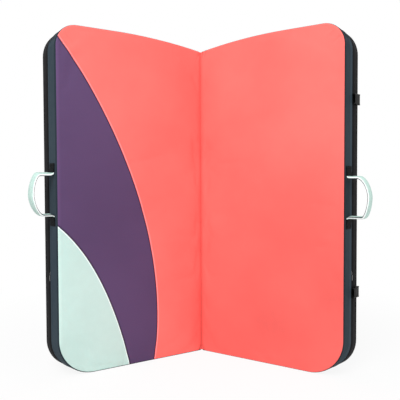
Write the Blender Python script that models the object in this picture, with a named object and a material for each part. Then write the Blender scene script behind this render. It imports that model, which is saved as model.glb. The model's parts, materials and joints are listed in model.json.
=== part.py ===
"""A folding bouldering crash pad, standing on its short edges and open like a book.

Metres, +Z up. Every piece of a half is drawn in that half's own frame: X runs out from the fold,
Y runs from the landing face into the thickness, and Z runs along the fold. The left half is the
mirror image. Two empties on the fold's axis then turn the halves to the angle they stand at.
"""

import math

import bmesh
import bpy
from mathutils import Matrix, Vector
from mathutils.geometry import interpolate_bezier

# The whole pad
pad_height = 1.0
half_width = 0.485
pad_thickness = 0.1
landing_top_corner = 0.066
landing_bottom_corner = 0.108
base_top_corner = 0.095
base_bottom_corner = 0.091
opening_angle = math.radians(110.2)
hinge_droop = 0.025
hinge_droop_reach = 0.3
corner_segments = 6
droop_shares = (0.9, 0.6, 0.35, 0.15, 0)
tightest_corner_share = 0.3

# What every piece shares
clearance = 0.0003
cover_wall = 0.0022
overrun = 0.02
patch_corner = 0.003
sharp_angle = math.radians(40)
bar_sides = 10
wire_sides = 8
bore_sides = 12

# The fold
axis_proud = 0.004
half_gap = 0.0006
hinge_fabric_wall = 0.001
hinge_fabric_leg = 0.014
hinge_fabric_inset = 0.004
hinge_fabric_sag = 0.0012
hinge_fabric_face_share = 0.8

# The landing face
landing_crown = 0.0035
crown_reach_share = 0.4
crown_shares = (1, 0.6, 0.3, 0.12)
edge_roll = 0.005
roll_segments = 3
landing_lip = 0.008
seam_gap = 0.0006
seam_segments = 14
coral_seam_shares = ((1.062, 1.01), (0.586, 0.741), (0.24, 0.347), (0.367, -0.01))
mint_seam_shares = ((1.051, 0.455), (0.821, 0.374), (0.654, 0.227), (0.532, -0.01))

# The sides
groove_start = 0.0572
groove_end = 0.0632
groove_depth = 0.003
groove_slope = 0.006
landing_seam_draw = 0.0012
landing_seam_slope = 0.004
base_roll = 0.0125
base_piping_radius = 0.002
base_piping_sides = 6

# The foam
top_foam = 0.02
base_foam = 0.01

# The zips
zip_tape = 0.0014
zip_start = 0.005
slider_length = 0.011
slider_width = 0.0056
slider_plate = 0.0014
slider_nose_share = 0.55
slider_shoulder_share = 0.7
slider_bar_radius = 0.0006
slider_bar_span_share = 0.62
slider_bar_lift = 0.0022
slider_bar_height = 0.292
pull_length = 0.022
pull_width = 0.0058
pull_thickness = 0.001
pull_eye_radius = 0.0014
pull_shoulder = 0.0055
pull_tip_share = 0.9
pull_waist_share = 1.25

# The handles
left_handle_height = 0.521
right_handle_height = 0.51
handle_half_span = 0.061
handle_standoff = 0.062
handle_depth = 0.031
handle_width = 0.034
handle_webbing = 0.004
handle_pivot_share = 0.12
handle_squareness = 2.6
handle_root_reach = 0.03
handle_foot = 0.008
handle_segments = 14
handle_patch_depth = 0.031
handle_patch_width = 0.039
handle_patch_height = 0.024
handle_patch_wall = 0.0016

# The closures
closure_top = 0.789
closure_bottom = 0.235
closure_webbing_width = 0.0245
closure_webbing = 0.0014
buckle_width = 0.031
buckle_height = 0.011
buckle_bar_radius = 0.0015
buckle_cheek = 0.0024
buckle_cheek_span_share = 0.98
buckle_rear_round_share = 0.6
buckle_rear = 0.0035
buckle_cheek_height = 0.0072
socket_back = 0.0072
socket_length = 0.0385
socket_mouth_width = 0.0248
socket_mouth_height = 0.0066
socket_floor = 0.0125
socket_window_start = 0.0205
socket_window_end = 0.0335
socket_window_height = 0.0056
socket_corner_share = 0.38
socket_span_shares = ((0, 0.9, 0.84), (0.14, 1, 1), (0.62, 0.97, 1), (1, 0.9, 0.86))
plug_length = 0.0345
plug_thickness = 0.005
plug_outline_shares = (
    (0.87, 0), (0.87, 0.13), (0.83, 0.19), (0.39, 0.19), (0.39, 0.52), (0.8, 0.42),
    (0.97, 0.36), (1, 0.42), (0.96, 0.56), (0.86, 0.72), (0.8, 0.74), (0.78, 0.66),
    (0.39, 0.76), (0.39, 1), (0.33, 1),
)
plug_block_start = 0.0068
socket_bar_depth = 0.0915
socket_tab_reach = 0.055
socket_tab_heading = math.radians(142)
socket_tab_turn = (math.radians(40), math.radians(80))
socket_tab_segments = 4
webbing_eye_turn = math.radians(265)
webbing_eye_segments = 9
plug_strap_inset = 0.03
plug_strap_length = 0.175
plug_patch = 0.022
plug_patch_gap = 0.003
plug_strap_ease = 0.022
strap_axis_lift = 0.0016

# The carrying harness
yoke_height = 0.715
yoke_width = 0.19
yoke_depth = 0.05
yoke_wall = 0.002
yoke_corner = 0.012
shoulder_top_spread = 0.056
shoulder_neck_spread = 0.058
shoulder_middle_spread = 0.106
shoulder_bottom_spread = 0.078
shoulder_length = 0.25
shoulder_width = 0.062
shoulder_tip_share = 0.5
shoulder_bow_share = 0.3
shoulder_taper_share = 0.25
shoulder_thickness = 0.012
strap_stations = 10
strap_sides = 10
strap_width_power = 0.5
strap_round_power = 0.8
ladder_width = 0.032
ladder_length = 0.024
ladder_thickness = 0.0045
ladder_side = 0.0035
ladder_bar = 0.0035
ladder_gap = 0.003
ladder_drop = 0.004
ladder_lift = 0.002
lower_tape_length = 0.05
lower_patch_width = 0.05
lower_patch_height = 0.026
belt_height = 0.292
belt_root_spread = 0.05
belt_pad_length = 0.09
belt_pad_height = 0.07
belt_tip_height = 0.026
belt_thickness = 0.009
belt_swell_power = 0.7
belt_patch_width = 0.082
belt_patch_height = 0.06
belt_tape_length = 0.02
belt_tape_overlap = 0.003

half_turn = (math.pi - opening_angle) / 2
harness_centre = half_width / 2
shoulder_top = yoke_height - yoke_depth / 2 - clearance
shoulder_bottom = shoulder_top - shoulder_length
sheet_back = cover_wall + clearance
colours = {
    "coral": ((1.0, 0.17, 0.14, 1), 0.75, 0),
    "purple": ((0.127, 0.076, 0.171, 1), 0.75, 0),
    "mint": ((0.66, 0.85, 0.79, 1), 0.75, 0),
    "slate": ((0.052, 0.068, 0.078, 1), 0.8, 0),
    "black": ((0.018, 0.018, 0.02, 1), 0.8, 0),
    "mint_webbing": ((0.64, 0.84, 0.77, 1), 0.7, 0),
    "black_webbing": ((0.014, 0.014, 0.015, 1), 0.75, 0),
    "buckle": ((0.012, 0.012, 0.013, 1), 0.4, 0),
    "zip_metal": ((0.03, 0.03, 0.032, 1), 0.45, 0.8),
    "closed_foam": ((0.24, 0.26, 0.28, 1), 0.9, 0),
    "open_foam": ((0.62, 0.6, 0.42, 1), 0.95, 0),
}
pivots = {}


def clear_scene():
    for obj in list(bpy.data.objects):
        bpy.data.objects.remove(obj, do_unlink=True)


def material(name):
    """One Principled material for each finish, made the first time it is asked for."""
    if name in bpy.data.materials:
        return bpy.data.materials[name]
    colour, roughness, metallic = colours[name]
    made = bpy.data.materials.new(name)
    made.use_nodes = True
    shader = made.node_tree.nodes["Principled BSDF"]
    shader.inputs["Base Color"].default_value = colour
    shader.inputs["Roughness"].default_value = roughness
    shader.inputs["Metallic"].default_value = metallic
    return made


def empty(name, location, turn=0, parent=None):
    made = bpy.data.objects.new(name, None)
    bpy.context.scene.collection.objects.link(made)
    made.parent = parent
    made.location = location
    made.rotation_euler = (0, 0, turn)
    return made


class Half:
    """One half of the pad: its name, the side it is on, and the empty on the fold that carries it."""

    def __init__(self, name, sign, carrier):
        self.name = name
        self.sign = sign
        self.carrier = carrier


def add(name, bm, finish, half, pivot=(0, 0, 0), parent=None):
    """Makes an object of a shape drawn in the half's frame, with its origin on its pivot."""
    pivot = Vector(pivot)
    bmesh.ops.translate(bm, vec=-pivot, verts=bm.verts)
    if half.sign < 0:
        bmesh.ops.scale(bm, vec=(-1, 1, 1), verts=bm.verts)
        bmesh.ops.reverse_faces(bm, faces=bm.faces)
    mesh = bpy.data.meshes.new(name)
    bm.to_mesh(mesh)
    bm.free()
    mesh.shade_smooth()
    mesh.set_sharp_from_angle(angle=sharp_angle)
    mesh.materials.append(material(finish))
    obj = bpy.data.objects.new(name, mesh)
    bpy.context.scene.collection.objects.link(obj)
    place = Vector((half.sign * pivot.x, pivot.y + axis_proud, pivot.z))
    pivots[name] = place
    obj.parent = parent or half.carrier
    obj.location = place - pivots.get(obj.parent.name, Vector())
    return obj


def hide(cutter):
    cutter.hide_render = True
    cutter.display_type = "WIRE"
    return cutter


def boolean(obj, operation, other):
    modifier = obj.modifiers.new(operation.lower(), "BOOLEAN")
    modifier.operation = operation
    modifier.object = hide(other)


def steps(start, end, count):
    """The values from start to end in count equal steps, both ends included."""
    return [start + (end - start) * i / count for i in range(count + 1)]


def arc(centre, radius, start, end, segments):
    return [
        (centre[0] + radius * math.cos(a), centre[1] + radius * math.sin(a))
        for a in steps(start, end, segments)
    ]


def droop(x):
    """How far the top edge hangs below the corners as it nears the fold."""
    return hinge_droop * max(0, 1 - x / hinge_droop_reach) ** 2


def corner_radius(landing, base, depth, inset):
    """A corner is rounder on one face than on the other, and changes evenly between them."""
    share = min(max(depth / pad_thickness, 0), 1)
    radius = landing + (base - landing) * share
    return max(radius - inset, radius * tightest_corner_share)


def half_outline(inset, hinge_inset, depth):
    """(x, z) round one half, from the fold's bottom end outwards and up to its top end."""
    inner = half_gap + hinge_inset
    low = corner_radius(landing_bottom_corner, base_bottom_corner, depth, inset)
    high = corner_radius(landing_top_corner, base_top_corner, depth, inset)
    outer = half_width - inset
    points = [(inner, inset)]
    points += arc((outer - low, inset + low), low, -math.pi / 2, 0, corner_segments)
    points += arc((outer - high, pad_height - inset - high), high, 0, math.pi / 2, corner_segments)
    reach = min(hinge_droop_reach, outer - high) - inner
    for share in droop_shares:
        x = inner + reach * share
        points.append((x, pad_height - inset - droop(x)))
    return points


def ring(inset, depth):
    return [(x, depth, z) for x, z in half_outline(inset, inset, depth)]


def loft(rings, capped=True):
    """Skins a row of closed rings that all have the same number of points."""
    bm = bmesh.new()
    loops = [[bm.verts.new(point) for point in one] for one in rings]
    for one, two in zip(loops, loops[1:]):
        for i in range(len(one)):
            j = (i + 1) % len(one)
            bm.faces.new((one[i], one[j], two[j], two[i]))
    if capped:
        bm.faces.new(loops[0])
        bm.faces.new(loops[-1])
    bmesh.ops.recalc_face_normals(bm, faces=bm.faces)
    return bm


def band(profile, start_inset=0):
    """Sweeps a closed profile of (inset, depth) round the half's three outer edges."""
    paths = [
        [(x, depth, z) for x, z in half_outline(inset, start_inset, depth)]
        for inset, depth in profile
    ]
    return loft(list(zip(*paths)))


def prism(outline, start, end, lift):
    """Extrudes a 2-D outline; lift(a, b, t) gives the point at t along the extrusion."""
    return loft([[lift(a, b, t) for a, b in outline] for t in (start, end)])


def box(low, high):
    bm = bmesh.new()
    bmesh.ops.create_cube(bm, size=1)
    low, high = Vector(low), Vector(high)
    bmesh.ops.scale(bm, vec=high - low, verts=bm.verts)
    bmesh.ops.translate(bm, vec=(low + high) / 2, verts=bm.verts)
    return bm


def rod(radius, length, sides, matrix):
    bm = bmesh.new()
    ends = {"radius1": radius, "radius2": radius, "depth": length, "cap_ends": True}
    bmesh.ops.create_cone(bm, segments=sides, matrix=matrix, **ends)
    return bm


def wire(path, radius, sides):
    """A round wire along a path of (x, y) at height zero, with mitred corners."""
    rings = []
    for i, point in enumerate(path):
        before = (Vector(point) - Vector(path[max(i - 1, 0)])).normalized()
        after = (Vector(path[min(i + 1, len(path) - 1)]) - Vector(point)).normalized()
        along = (before + after).normalized()
        across = Vector((-along.y, along.x))
        stretch = 1 / max(along.dot(before), along.dot(after))
        section = []
        for x, z in arc((0, 0), radius, 0, 2 * math.pi, sides)[:-1]:
            place = Vector(point) + across * x * stretch
            section.append((place.x, place.y, z))
        rings.append(section)
    return loft(rings)


def ribbon(path, thickness, start, end, lift):
    """Webbing that follows a 2-D path on edge, and is as wide as the extrusion from start to end."""
    rings = []
    for i, (a, b) in enumerate(path):
        before = Vector(path[max(i - 1, 0)])
        after = Vector(path[min(i + 1, len(path) - 1)])
        along = (after - before).normalized()
        side = Vector((-along.y, along.x)) * thickness / 2
        one, two = Vector((a, b)) + side, Vector((a, b)) - side
        rings.append([lift(*one, start), lift(*two, start), lift(*two, end), lift(*one, end)])
    return loft(rings)


def rounded_plate(width, height, corner, segments):
    """(a, b) round a rectangle with round corners, centred on zero."""
    points = []
    for quarter, (i, j) in enumerate(((1, 1), (-1, 1), (-1, -1), (1, -1))):
        centre = (i * (width / 2 - corner), j * (height / 2 - corner))
        points += arc(centre, corner, quarter * math.pi / 2, (quarter + 1) * math.pi / 2, segments)
    return points


def roll_points(radius, inset_centre, depth_centre, segments):
    """(inset, depth) from the face of a rolled edge round to its side."""
    return [
        (inset_centre - radius * math.sin(a), depth_centre - radius * math.cos(a))
        for a in steps(0, math.pi / 2, segments)
    ]


def landing_skin(offset):
    """(inset, depth) of the landing face from its middle to its edge, sunk by the offset."""
    points = []
    for share in crown_shares:
        rise = 1 - (1 - share) ** 2
        points.append((share * crown_reach_share * half_width, offset - landing_crown * rise))
    return points + roll_points(edge_roll - offset, edge_roll, edge_roll, roll_segments)


def landing_sheet():
    outside = landing_skin(0) + [(0, landing_lip)]
    inside = landing_skin(cover_wall) + [(cover_wall, landing_lip)]
    return loft([ring(*point) for point in outside + inside[::-1]])


def seam(shares, offset):
    """A colour seam in (x, z), moved sideways by the offset, from the outer edge to the bottom."""
    knots = [Vector((half_width * a, pad_height * b)) for a, b in shares]
    points = interpolate_bezier(*knots, seam_segments + 1)
    moved = []
    for i, point in enumerate(points):
        along = (points[min(i + 1, seam_segments)] - points[max(i - 1, 0)]).normalized()
        moved.append(point.to_2d() + Vector((-along.y, along.x)) * offset)
    return [(point.x, point.y) for point in moved]


def landing_region(name, outline, half):
    def lift(a, b, t):
        return (a, t, b)

    bm = prism(outline, -overrun, landing_lip + overrun, lift)
    return hide(add(name, bm, "coral", half))


def coloured_landing(half):
    """The left half's three panels: one sheet, divided along the two colour seams."""
    far = half_width + overrun * 2
    top = pad_height + overrun * 2
    upper = seam(coral_seam_shares, seam_gap / 2)
    upper_low = seam(coral_seam_shares, -seam_gap / 2)
    lower = seam(mint_seam_shares, seam_gap / 2)
    lower_low = seam(mint_seam_shares, -seam_gap / 2)
    regions = {
        "coral": upper_low + [(-overrun, -overrun), (-overrun, top), (far, top)],
        "purple": upper + lower_low[::-1],
        "mint": lower + [(far, -overrun * 2)],
    }
    for colour, outline in regions.items():
        panel = add(f"{half.name}_landing_{colour}", landing_sheet(), colour, half)
        cutter = landing_region(f"{colour}_region", outline, half)
        boolean(panel, "INTERSECT", cutter)


def foam_layers(half):
    """The three layers, from the landing face down: closed cell, open cell, closed cell."""
    top_inset = landing_seam_draw + sheet_back
    low_inset = groove_depth + sheet_back
    top_end = sheet_back + top_foam
    core_end = pad_thickness - sheet_back - base_foam - clearance
    skin = [(inset, depth) for inset, depth in landing_skin(sheet_back) if inset >= top_inset]
    rings = [ring(*point) for point in skin + [(top_inset, edge_roll), (top_inset, top_end)]]
    add(f"{half.name}_top_foam", loft(rings), "closed_foam", half)
    rings = [ring(low_inset, top_end + clearance), ring(low_inset, core_end)]
    add(f"{half.name}_core_foam", loft(rings), "open_foam", half)
    base_inset = low_inset + landing_seam_draw
    base_end = pad_thickness - sheet_back
    rings = [
        ring(base_inset, core_end + clearance),
        ring(base_inset, base_end - base_foam / 2),
        ring(base_inset + base_foam / 2, base_end),
    ]
    add(f"{half.name}_base_foam", loft(rings), "closed_foam", half)


def side_band(half):
    start = landing_lip + clearance
    outside = [
        (landing_seam_draw, start), (0, start + landing_seam_slope),
        (0, groove_start - groove_slope), (groove_depth, groove_start),
    ]
    inside = [(inset + cover_wall, depth) for inset, depth in outside]
    add(f"{half.name}_side_band", band(outside + inside[::-1]), "slate", half)


def base_cover(half):
    """A tray: the base panel and the lower walls, rolled into each other."""
    rolls = []
    for offset in (0, cover_wall):
        wall = [(groove_depth + offset, groove_end), (offset, groove_end + groove_slope)]
        roll = roll_points(base_roll - offset, base_roll, base_roll, roll_segments)
        rolls.append(wall + [(inset, pad_thickness - depth) for inset, depth in reversed(roll)])
    outside, inside = rolls
    rings = [ring(*point) for point in outside[::-1] + inside]
    add(f"{half.name}_base_cover", loft(rings), "black", half)


def spine_panel(half):
    """The wall on the fold's side, from the landing panel's lip to the base cover's rim."""
    margin = groove_depth + cover_wall + clearance
    top = pad_height - droop(half_gap) - margin
    low = (half_gap, landing_lip + clearance, margin)
    high = (half_gap + cover_wall, groove_end - clearance, top)
    add(f"{half.name}_spine_panel", box(low, high), "black", half)


def base_piping(half):
    """The round cord sewn in where the base rolls into the side."""
    diagonal = math.sqrt(0.5)
    out = base_roll * (1 - diagonal) - (base_piping_radius + clearance) * diagonal
    centre = (out, pad_thickness - out)
    profile = arc(centre, base_piping_radius, 0, 2 * math.pi, base_piping_sides)[:-1]
    add(f"{half.name}_base_piping", band(profile), "black_webbing", half)


def zip_track(half):
    near = groove_depth + clearance
    far = near + zip_tape
    start, end = groove_start + clearance, groove_end - clearance
    profile = [(near, start), (near, end), (far, end), (far, start)]
    add(f"{half.name}_zip_track", band(profile, zip_start), "black_webbing", half)


def zip_slider(half):
    """A waisted slider with a wire staple over it; the pull hangs from the staple."""
    centre_depth = (groove_start + groove_end) / 2
    seat = half_width - groove_depth + clearance
    bar_x = seat + slider_plate + slider_bar_lift
    bar = (bar_x, centre_depth, slider_bar_height)

    def plate_point(a, b, t):
        return (t, centre_depth + a, slider_bar_height + b)

    wide, narrow = slider_width / 2, slider_width / 2 * slider_nose_share
    tail, nose = -slider_length / 2, slider_length / 2
    shoulder = nose * slider_shoulder_share
    outline = [(-narrow, tail), (narrow, tail), (wide, 0), (wide, shoulder), (narrow, nose)]
    outline += [(-narrow, nose), (-wide, shoulder), (-wide, 0)]
    plate = prism(outline, seat, seat + slider_plate, plate_point)
    slider = add(f"{half.name}_zip_slider", plate, "zip_metal", half, bar)
    span = pull_width * slider_bar_span_share / 2
    foot = seat + slider_plate / 2
    path = [(foot, -span), (bar_x, -span), (bar_x, span), (foot, span)]
    staple = wire(path, slider_bar_radius, wire_sides)
    bmesh.ops.translate(staple, vec=(0, centre_depth, slider_bar_height), verts=staple.verts)
    boolean(slider, "UNION", add(f"{half.name}_slider_staple", staple, "zip_metal", half, bar))
    zip_pull(half, bar, span, slider)


def zip_pull(half, bar, span, slider):
    """A flat tab with a round eye; the eye's bore clears the staple's bar."""
    eye_width = 2 * (span - slider_bar_radius - clearance)
    eye_turn = Matrix.Translation(bar) @ Matrix.Rotation(math.pi / 2, 4, "X")
    eye = rod(pull_eye_radius, eye_width, bore_sides, eye_turn)
    pull = add(f"{half.name}_zip_pull", eye, "zip_metal", half, bar, slider)
    neck, full = eye_width / 2 - clearance, pull_width / 2

    def tab_point(a, b, t):
        return (bar[0] + t, bar[1] + a, bar[2] - b)

    waist, tip = pull_shoulder * pull_waist_share, pull_length * pull_tip_share
    side = [(neck, pull_eye_radius / 2), (neck, pull_shoulder)]
    side += [(full, waist), (full, tip), (neck, pull_length)]
    outline = side + [(-a, b) for a, b in reversed(side)]
    tab = prism(outline, -pull_thickness / 2, pull_thickness / 2, tab_point)
    boolean(pull, "UNION", add(f"{half.name}_pull_tab", tab, "zip_metal", half, bar, slider))
    bore = rod(slider_bar_radius + clearance, eye_width + overrun, bore_sides, eye_turn)
    boolean(pull, "DIFFERENCE", add(f"{half.name}_pull_bore", bore, "zip_metal", half, bar, slider))


def handle_path(height):
    """(x, z) along the middle of the handle's webbing, from its lower root to its upper root."""
    power = 2 / handle_squareness
    points = []
    for angle in steps(-math.pi / 2, math.pi / 2, handle_segments * 2):
        reach = handle_standoff * math.cos(angle) ** power if abs(angle) < math.pi / 2 else 0
        rise = handle_half_span * math.copysign(abs(math.sin(angle)) ** power, angle)
        points.append((half_width + reach, height + rise))
    return points


def handle(half, height):
    """A webbing grip that flops about its stitches, its two sewn roots and their stitched patches."""
    path = handle_path(height)
    split = half_width + handle_root_reach
    first = handle_depth - handle_width / 2
    last = handle_depth + handle_width / 2

    def lift(a, b, t):
        return (a, t, b)

    grip = [point for point in path if point[0] > split]
    # A loop that is folded back bends nearer its back edge.
    pivot = (half_width + clearance, handle_depth + handle_width * handle_pivot_share, height)
    bm = ribbon(grip, handle_webbing, first, last, lift)
    add(f"{half.name}_handle_grip", bm, "mint_webbing", half, pivot)
    seat = half_width + clearance + handle_webbing / 2
    for side, name in ((1, "upper"), (-1, "lower")):
        end = height + side * handle_half_span
        leg = [point for point in path if seat + handle_webbing < point[0] <= split]
        leg = [point for point in leg if (point[1] - height) * side > 0]
        leg.sort()
        root_end = (split - clearance + (grip[0][0] - split), leg[-1][1])
        leg = [point for point in leg if point[0] < root_end[0] - handle_webbing] + [root_end]
        foot = [(seat, end + side * handle_foot), (seat, end + side * handle_webbing)]
        bm = ribbon(foot + leg, handle_webbing, first, last, lift)
        add(f"{half.name}_handle_{name}_root", bm, "mint_webbing", half)
        patch_low = end + side * (handle_foot + clearance)
        patch_centre = patch_low + side * handle_patch_height / 2
        outline = rounded_plate(handle_patch_width, handle_patch_height, patch_corner, 2)
        start = half_width + clearance

        def patch_point(a, b, t, centre=patch_centre):
            return (t, handle_patch_depth + a, centre + b)

        plate = prism(outline, start, start + handle_patch_wall, patch_point)
        add(f"{half.name}_handle_{name}_patch", plate, "black_webbing", half)


def buckle_frame(start):
    """The two cheeks and the bar at the rear of a buckle; the bar lies along Y through the origin."""
    half = buckle_width / 2
    edge = half * buckle_cheek_span_share
    rear_round = buckle_rear * buckle_rear_round_share
    centre = (-buckle_rear + rear_round, 0)
    top = buckle_cheek_height / 2
    side = [(start, -top)]
    side += [(centre[0] + a, b) for a, b in ((0, -top), (-rear_round, -top + rear_round))]
    side += [(a, -b) for a, b in reversed(side)]
    shapes = []
    for start_y, end_y in ((-edge, -edge + buckle_cheek), (edge - buckle_cheek, edge)):

        def lift(a, b, t):
            return (a, t, b)

        shapes.append(prism(side, start_y, end_y, lift))
    turn = Matrix.Rotation(math.pi / 2, 4, "X")
    shapes.append(rod(buckle_bar_radius, 2 * half - buckle_cheek, bar_sides, turn))
    return shapes


def solid_of(name, body, unions, cuts):
    """One finished mesh from a body, what is joined to it and what is cut out of it."""
    def loose(label, bm):
        mesh = bpy.data.meshes.new(label)
        bm.to_mesh(mesh)
        bm.free()
        obj = bpy.data.objects.new(label, mesh)
        bpy.context.scene.collection.objects.link(obj)
        return obj

    base = loose(name, body)
    others = []
    for kind, shapes in (("UNION", unions), ("DIFFERENCE", cuts)):
        for i, shape in enumerate(shapes):
            other = loose(f"{name}_{kind}_{i}", shape)
            boolean(base, kind, other)
            others.append(other)
    bpy.context.view_layer.update()
    graph = bpy.context.evaluated_depsgraph_get()
    mesh = bpy.data.meshes.new_from_object(base.evaluated_get(graph))
    for obj in others + [base]:
        bpy.data.objects.remove(obj, do_unlink=True)
    return mesh


def socket_mesh():
    """The outer part of a side-release buckle: an oval sleeve with side windows for the prongs."""
    span = socket_length - socket_back
    rings = []
    for along, wide, high in socket_span_shares:
        corner = buckle_height * high * socket_corner_share
        outline = rounded_plate(buckle_width * wide, buckle_height * high, corner, 3)
        rings.append([(socket_back + span * along, a, b) for a, b in outline])
    mouth = rounded_plate(
        socket_mouth_width, socket_mouth_height, socket_mouth_height * socket_corner_share, 2
    )

    def along_x(a, b, t):
        return (t, a, b)

    cavity = prism(mouth, socket_floor, socket_length + overrun, along_x)
    reach = buckle_width
    window = box(
        (socket_window_start, -reach, -socket_window_height / 2),
        (socket_window_end, reach, socket_window_height / 2),
    )
    return solid_of("socket", loft(rings), buckle_frame(socket_floor), [cavity, window])


def plug_mesh():
    """The inner part of the buckle: two sprung prongs with barbs, and the tongue between them."""
    half = buckle_width / 2
    side = [(plug_length * a, half * b) for a, b in plug_outline_shares]
    side += [(plug_block_start, half), (plug_block_start, 0)]
    outline = side + [(a, -b) for a, b in side[-2:0:-1]]

    def lift(a, b, t):
        return (a, b, t)

    body = prism(outline, -plug_thickness / 2, plug_thickness / 2, lift)
    return solid_of("plug", body, buckle_frame(plug_block_start + buckle_cheek), [])


def set_buckle(name, mesh, half, bar, mouth, out, parent=None):
    """Stands a buckle part on its bar, with its mouth and its upper face turned as given."""
    mouth, out = Vector(mouth), Vector(out)
    across = out.cross(mouth)
    turn = Matrix((mouth, across, out)).transposed().to_4x4()
    bm = bmesh.new()
    bm.from_mesh(mesh)
    bmesh.ops.transform(bm, matrix=Matrix.Translation(bar) @ turn, verts=bm.verts)
    return add(name, bm, "buckle", half, bar, parent)


def eye_path(bar, heading, turn_sign):
    """2-D points of a webbing eye round a bar, which then leaves along the heading."""
    radius = buckle_bar_radius + clearance + closure_webbing / 2
    leave = heading - turn_sign * math.pi / 2
    angles = steps(leave - turn_sign * webbing_eye_turn, leave, webbing_eye_segments)
    return [(bar[0] + radius * math.cos(a), bar[1] + radius * math.sin(a)) for a in angles]


def closure_socket(half, name, height, mesh):
    """A socket that swings on webbing sewn to the base and brought round the back edge."""
    bar_x = half_width + clearance + buckle_height / 2
    bar = (bar_x, socket_bar_depth)
    path = eye_path(bar, socket_tab_heading, 1)
    face = pad_thickness + clearance + closure_webbing / 2
    corner = (half_width - base_roll, pad_thickness - base_roll)
    sweep = base_roll + (base_piping_radius + clearance) * 2 + clearance + closure_webbing / 2
    path += arc(corner, sweep, *socket_tab_turn, socket_tab_segments)
    path += [(half_width - base_roll * 2, face), (half_width - socket_tab_reach, face)]
    width = closure_webbing_width / 2

    def lift(a, b, t):
        return (a, b, t)

    tab = ribbon(path, closure_webbing, height - width, height + width, lift)
    add(f"{name}_socket_tab", tab, "black_webbing", half)
    set_buckle(f"{name}_closure_socket", mesh, half, (*bar, height), (0, -1, 0), (1, 0, 0))


def closure_plug(half, name, height, mesh):
    """A strap that lies along the base from its stitched patch, with the plug on its free end."""
    width = closure_webbing_width / 2
    seat = pad_thickness + clearance
    middle = seat + closure_webbing / 2 + clearance
    patch_middle = half_width - plug_strap_inset
    outline = rounded_plate(plug_patch, closure_webbing_width, patch_corner, 2)

    def patch_point(a, b, t):
        return (patch_middle + a, t, height + b)

    patch = prism(outline, seat, seat + closure_webbing, patch_point)
    add(f"{name}_strap_patch", patch, "black_webbing", half)
    start_x = patch_middle - plug_patch / 2 - plug_patch_gap
    bar = (start_x - plug_strap_length, seat + buckle_height / 2)
    path = eye_path(bar, 0, -1) + [(bar[0] + plug_strap_ease, middle), (start_x, middle)]

    def lift(a, b, t):
        return (a, b, t)

    webbing = ribbon(path, closure_webbing, height - width, height + width, lift)
    pivot = (start_x, seat + strap_axis_lift, height)
    strap = add(f"{name}_plug_strap", webbing, "black_webbing", half, pivot)
    set_buckle(f"{name}_closure_plug", mesh, half, (*bar, height), (-1, 0, 0), (0, 1, 0), strap)


def padded_strip(stations, thickness):
    """A padded strap: an oval section that follows (x, z, width) along the base, square to its path."""
    middle = pad_thickness + clearance + thickness / 2
    rings = []
    for i, (x, z, width) in enumerate(stations):
        before, after = stations[max(i - 1, 0)], stations[min(i + 1, len(stations) - 1)]
        along = Vector((after[0] - before[0], after[1] - before[1])).normalized()
        across = Vector((-along.y, along.x))
        section = []
        for k in range(strap_sides):
            angle = 2 * math.pi * k / strap_sides
            c, s = math.cos(angle), math.sin(angle)
            a = width / 2 * math.copysign(abs(c) ** strap_width_power, c)
            b = thickness / 2 * math.copysign(abs(s) ** strap_round_power, s)
            section.append((x + across.x * a, middle + b, z + across.y * a))
        rings.append(section)
    return loft(rings)


def shoulder_strap(half, name, side):
    """A padded strap from the yoke, its ladder lock, the tape below it and the tape's patch."""
    bow = shoulder_length * shoulder_bow_share
    knots = [
        Vector((shoulder_top_spread, shoulder_top)),
        Vector((shoulder_neck_spread, shoulder_top - bow)),
        Vector((shoulder_middle_spread, shoulder_bottom + bow)),
        Vector((shoulder_bottom_spread, shoulder_bottom)),
    ]
    stations = []
    points = interpolate_bezier(*knots, strap_stations)
    # The strap leaves the yoke square to its edge.
    points[1].x = points[0].x
    for i, point in enumerate(points):
        left_over = (1 - i / (strap_stations - 1)) / shoulder_taper_share
        taper = 1 - (1 - shoulder_tip_share) * max(0, 1 - left_over)
        stations.append((harness_centre + side * point.x, point.y, shoulder_width * taper))
    bm = padded_strip(stations, shoulder_thickness)
    add(f"{name}_shoulder_strap", bm, "black", half)
    x = harness_centre + side * shoulder_bottom_spread
    lock_middle = shoulder_bottom - ladder_drop - ladder_length / 2
    ladder_lock(half, name, x, lock_middle)
    lower_tape(half, name, x, lock_middle)


def lower_tape(half, name, x, lock_middle):
    """A tape that comes up from its patch, through the lock's lower slot and over its middle bar."""
    seat = pad_thickness + clearance
    flat = seat + closure_webbing / 2
    over = seat + ladder_lift + ladder_thickness + clearance + closure_webbing / 2
    slot = ladder_bar / 2 + ladder_gap / 2
    turn = closure_webbing / 2
    bottom = lock_middle - slot - lower_tape_length
    side = [(flat, lock_middle - slot - turn), (flat + turn, lock_middle - slot)]
    side += [(over - turn, lock_middle - slot), (over, lock_middle - slot + turn)]
    path = [(flat, bottom)] + side + [(a, 2 * lock_middle - b) for a, b in reversed(side[1:])]
    width = closure_webbing_width / 2

    def lift(a, b, t):
        return (x + t, a, b)

    tape = ribbon(path, closure_webbing, -width, width, lift)
    add(f"{name}_lower_tape", tape, "black_webbing", half)
    outline = rounded_plate(lower_patch_width, lower_patch_height, yoke_corner / 2, 2)
    centre = bottom - clearance - lower_patch_height / 2

    def patch_point(a, b, t):
        return (x + a, t, centre + b)

    patch = prism(outline, seat, seat + yoke_wall, patch_point)
    add(f"{name}_lower_patch", patch, "black", half)


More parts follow.
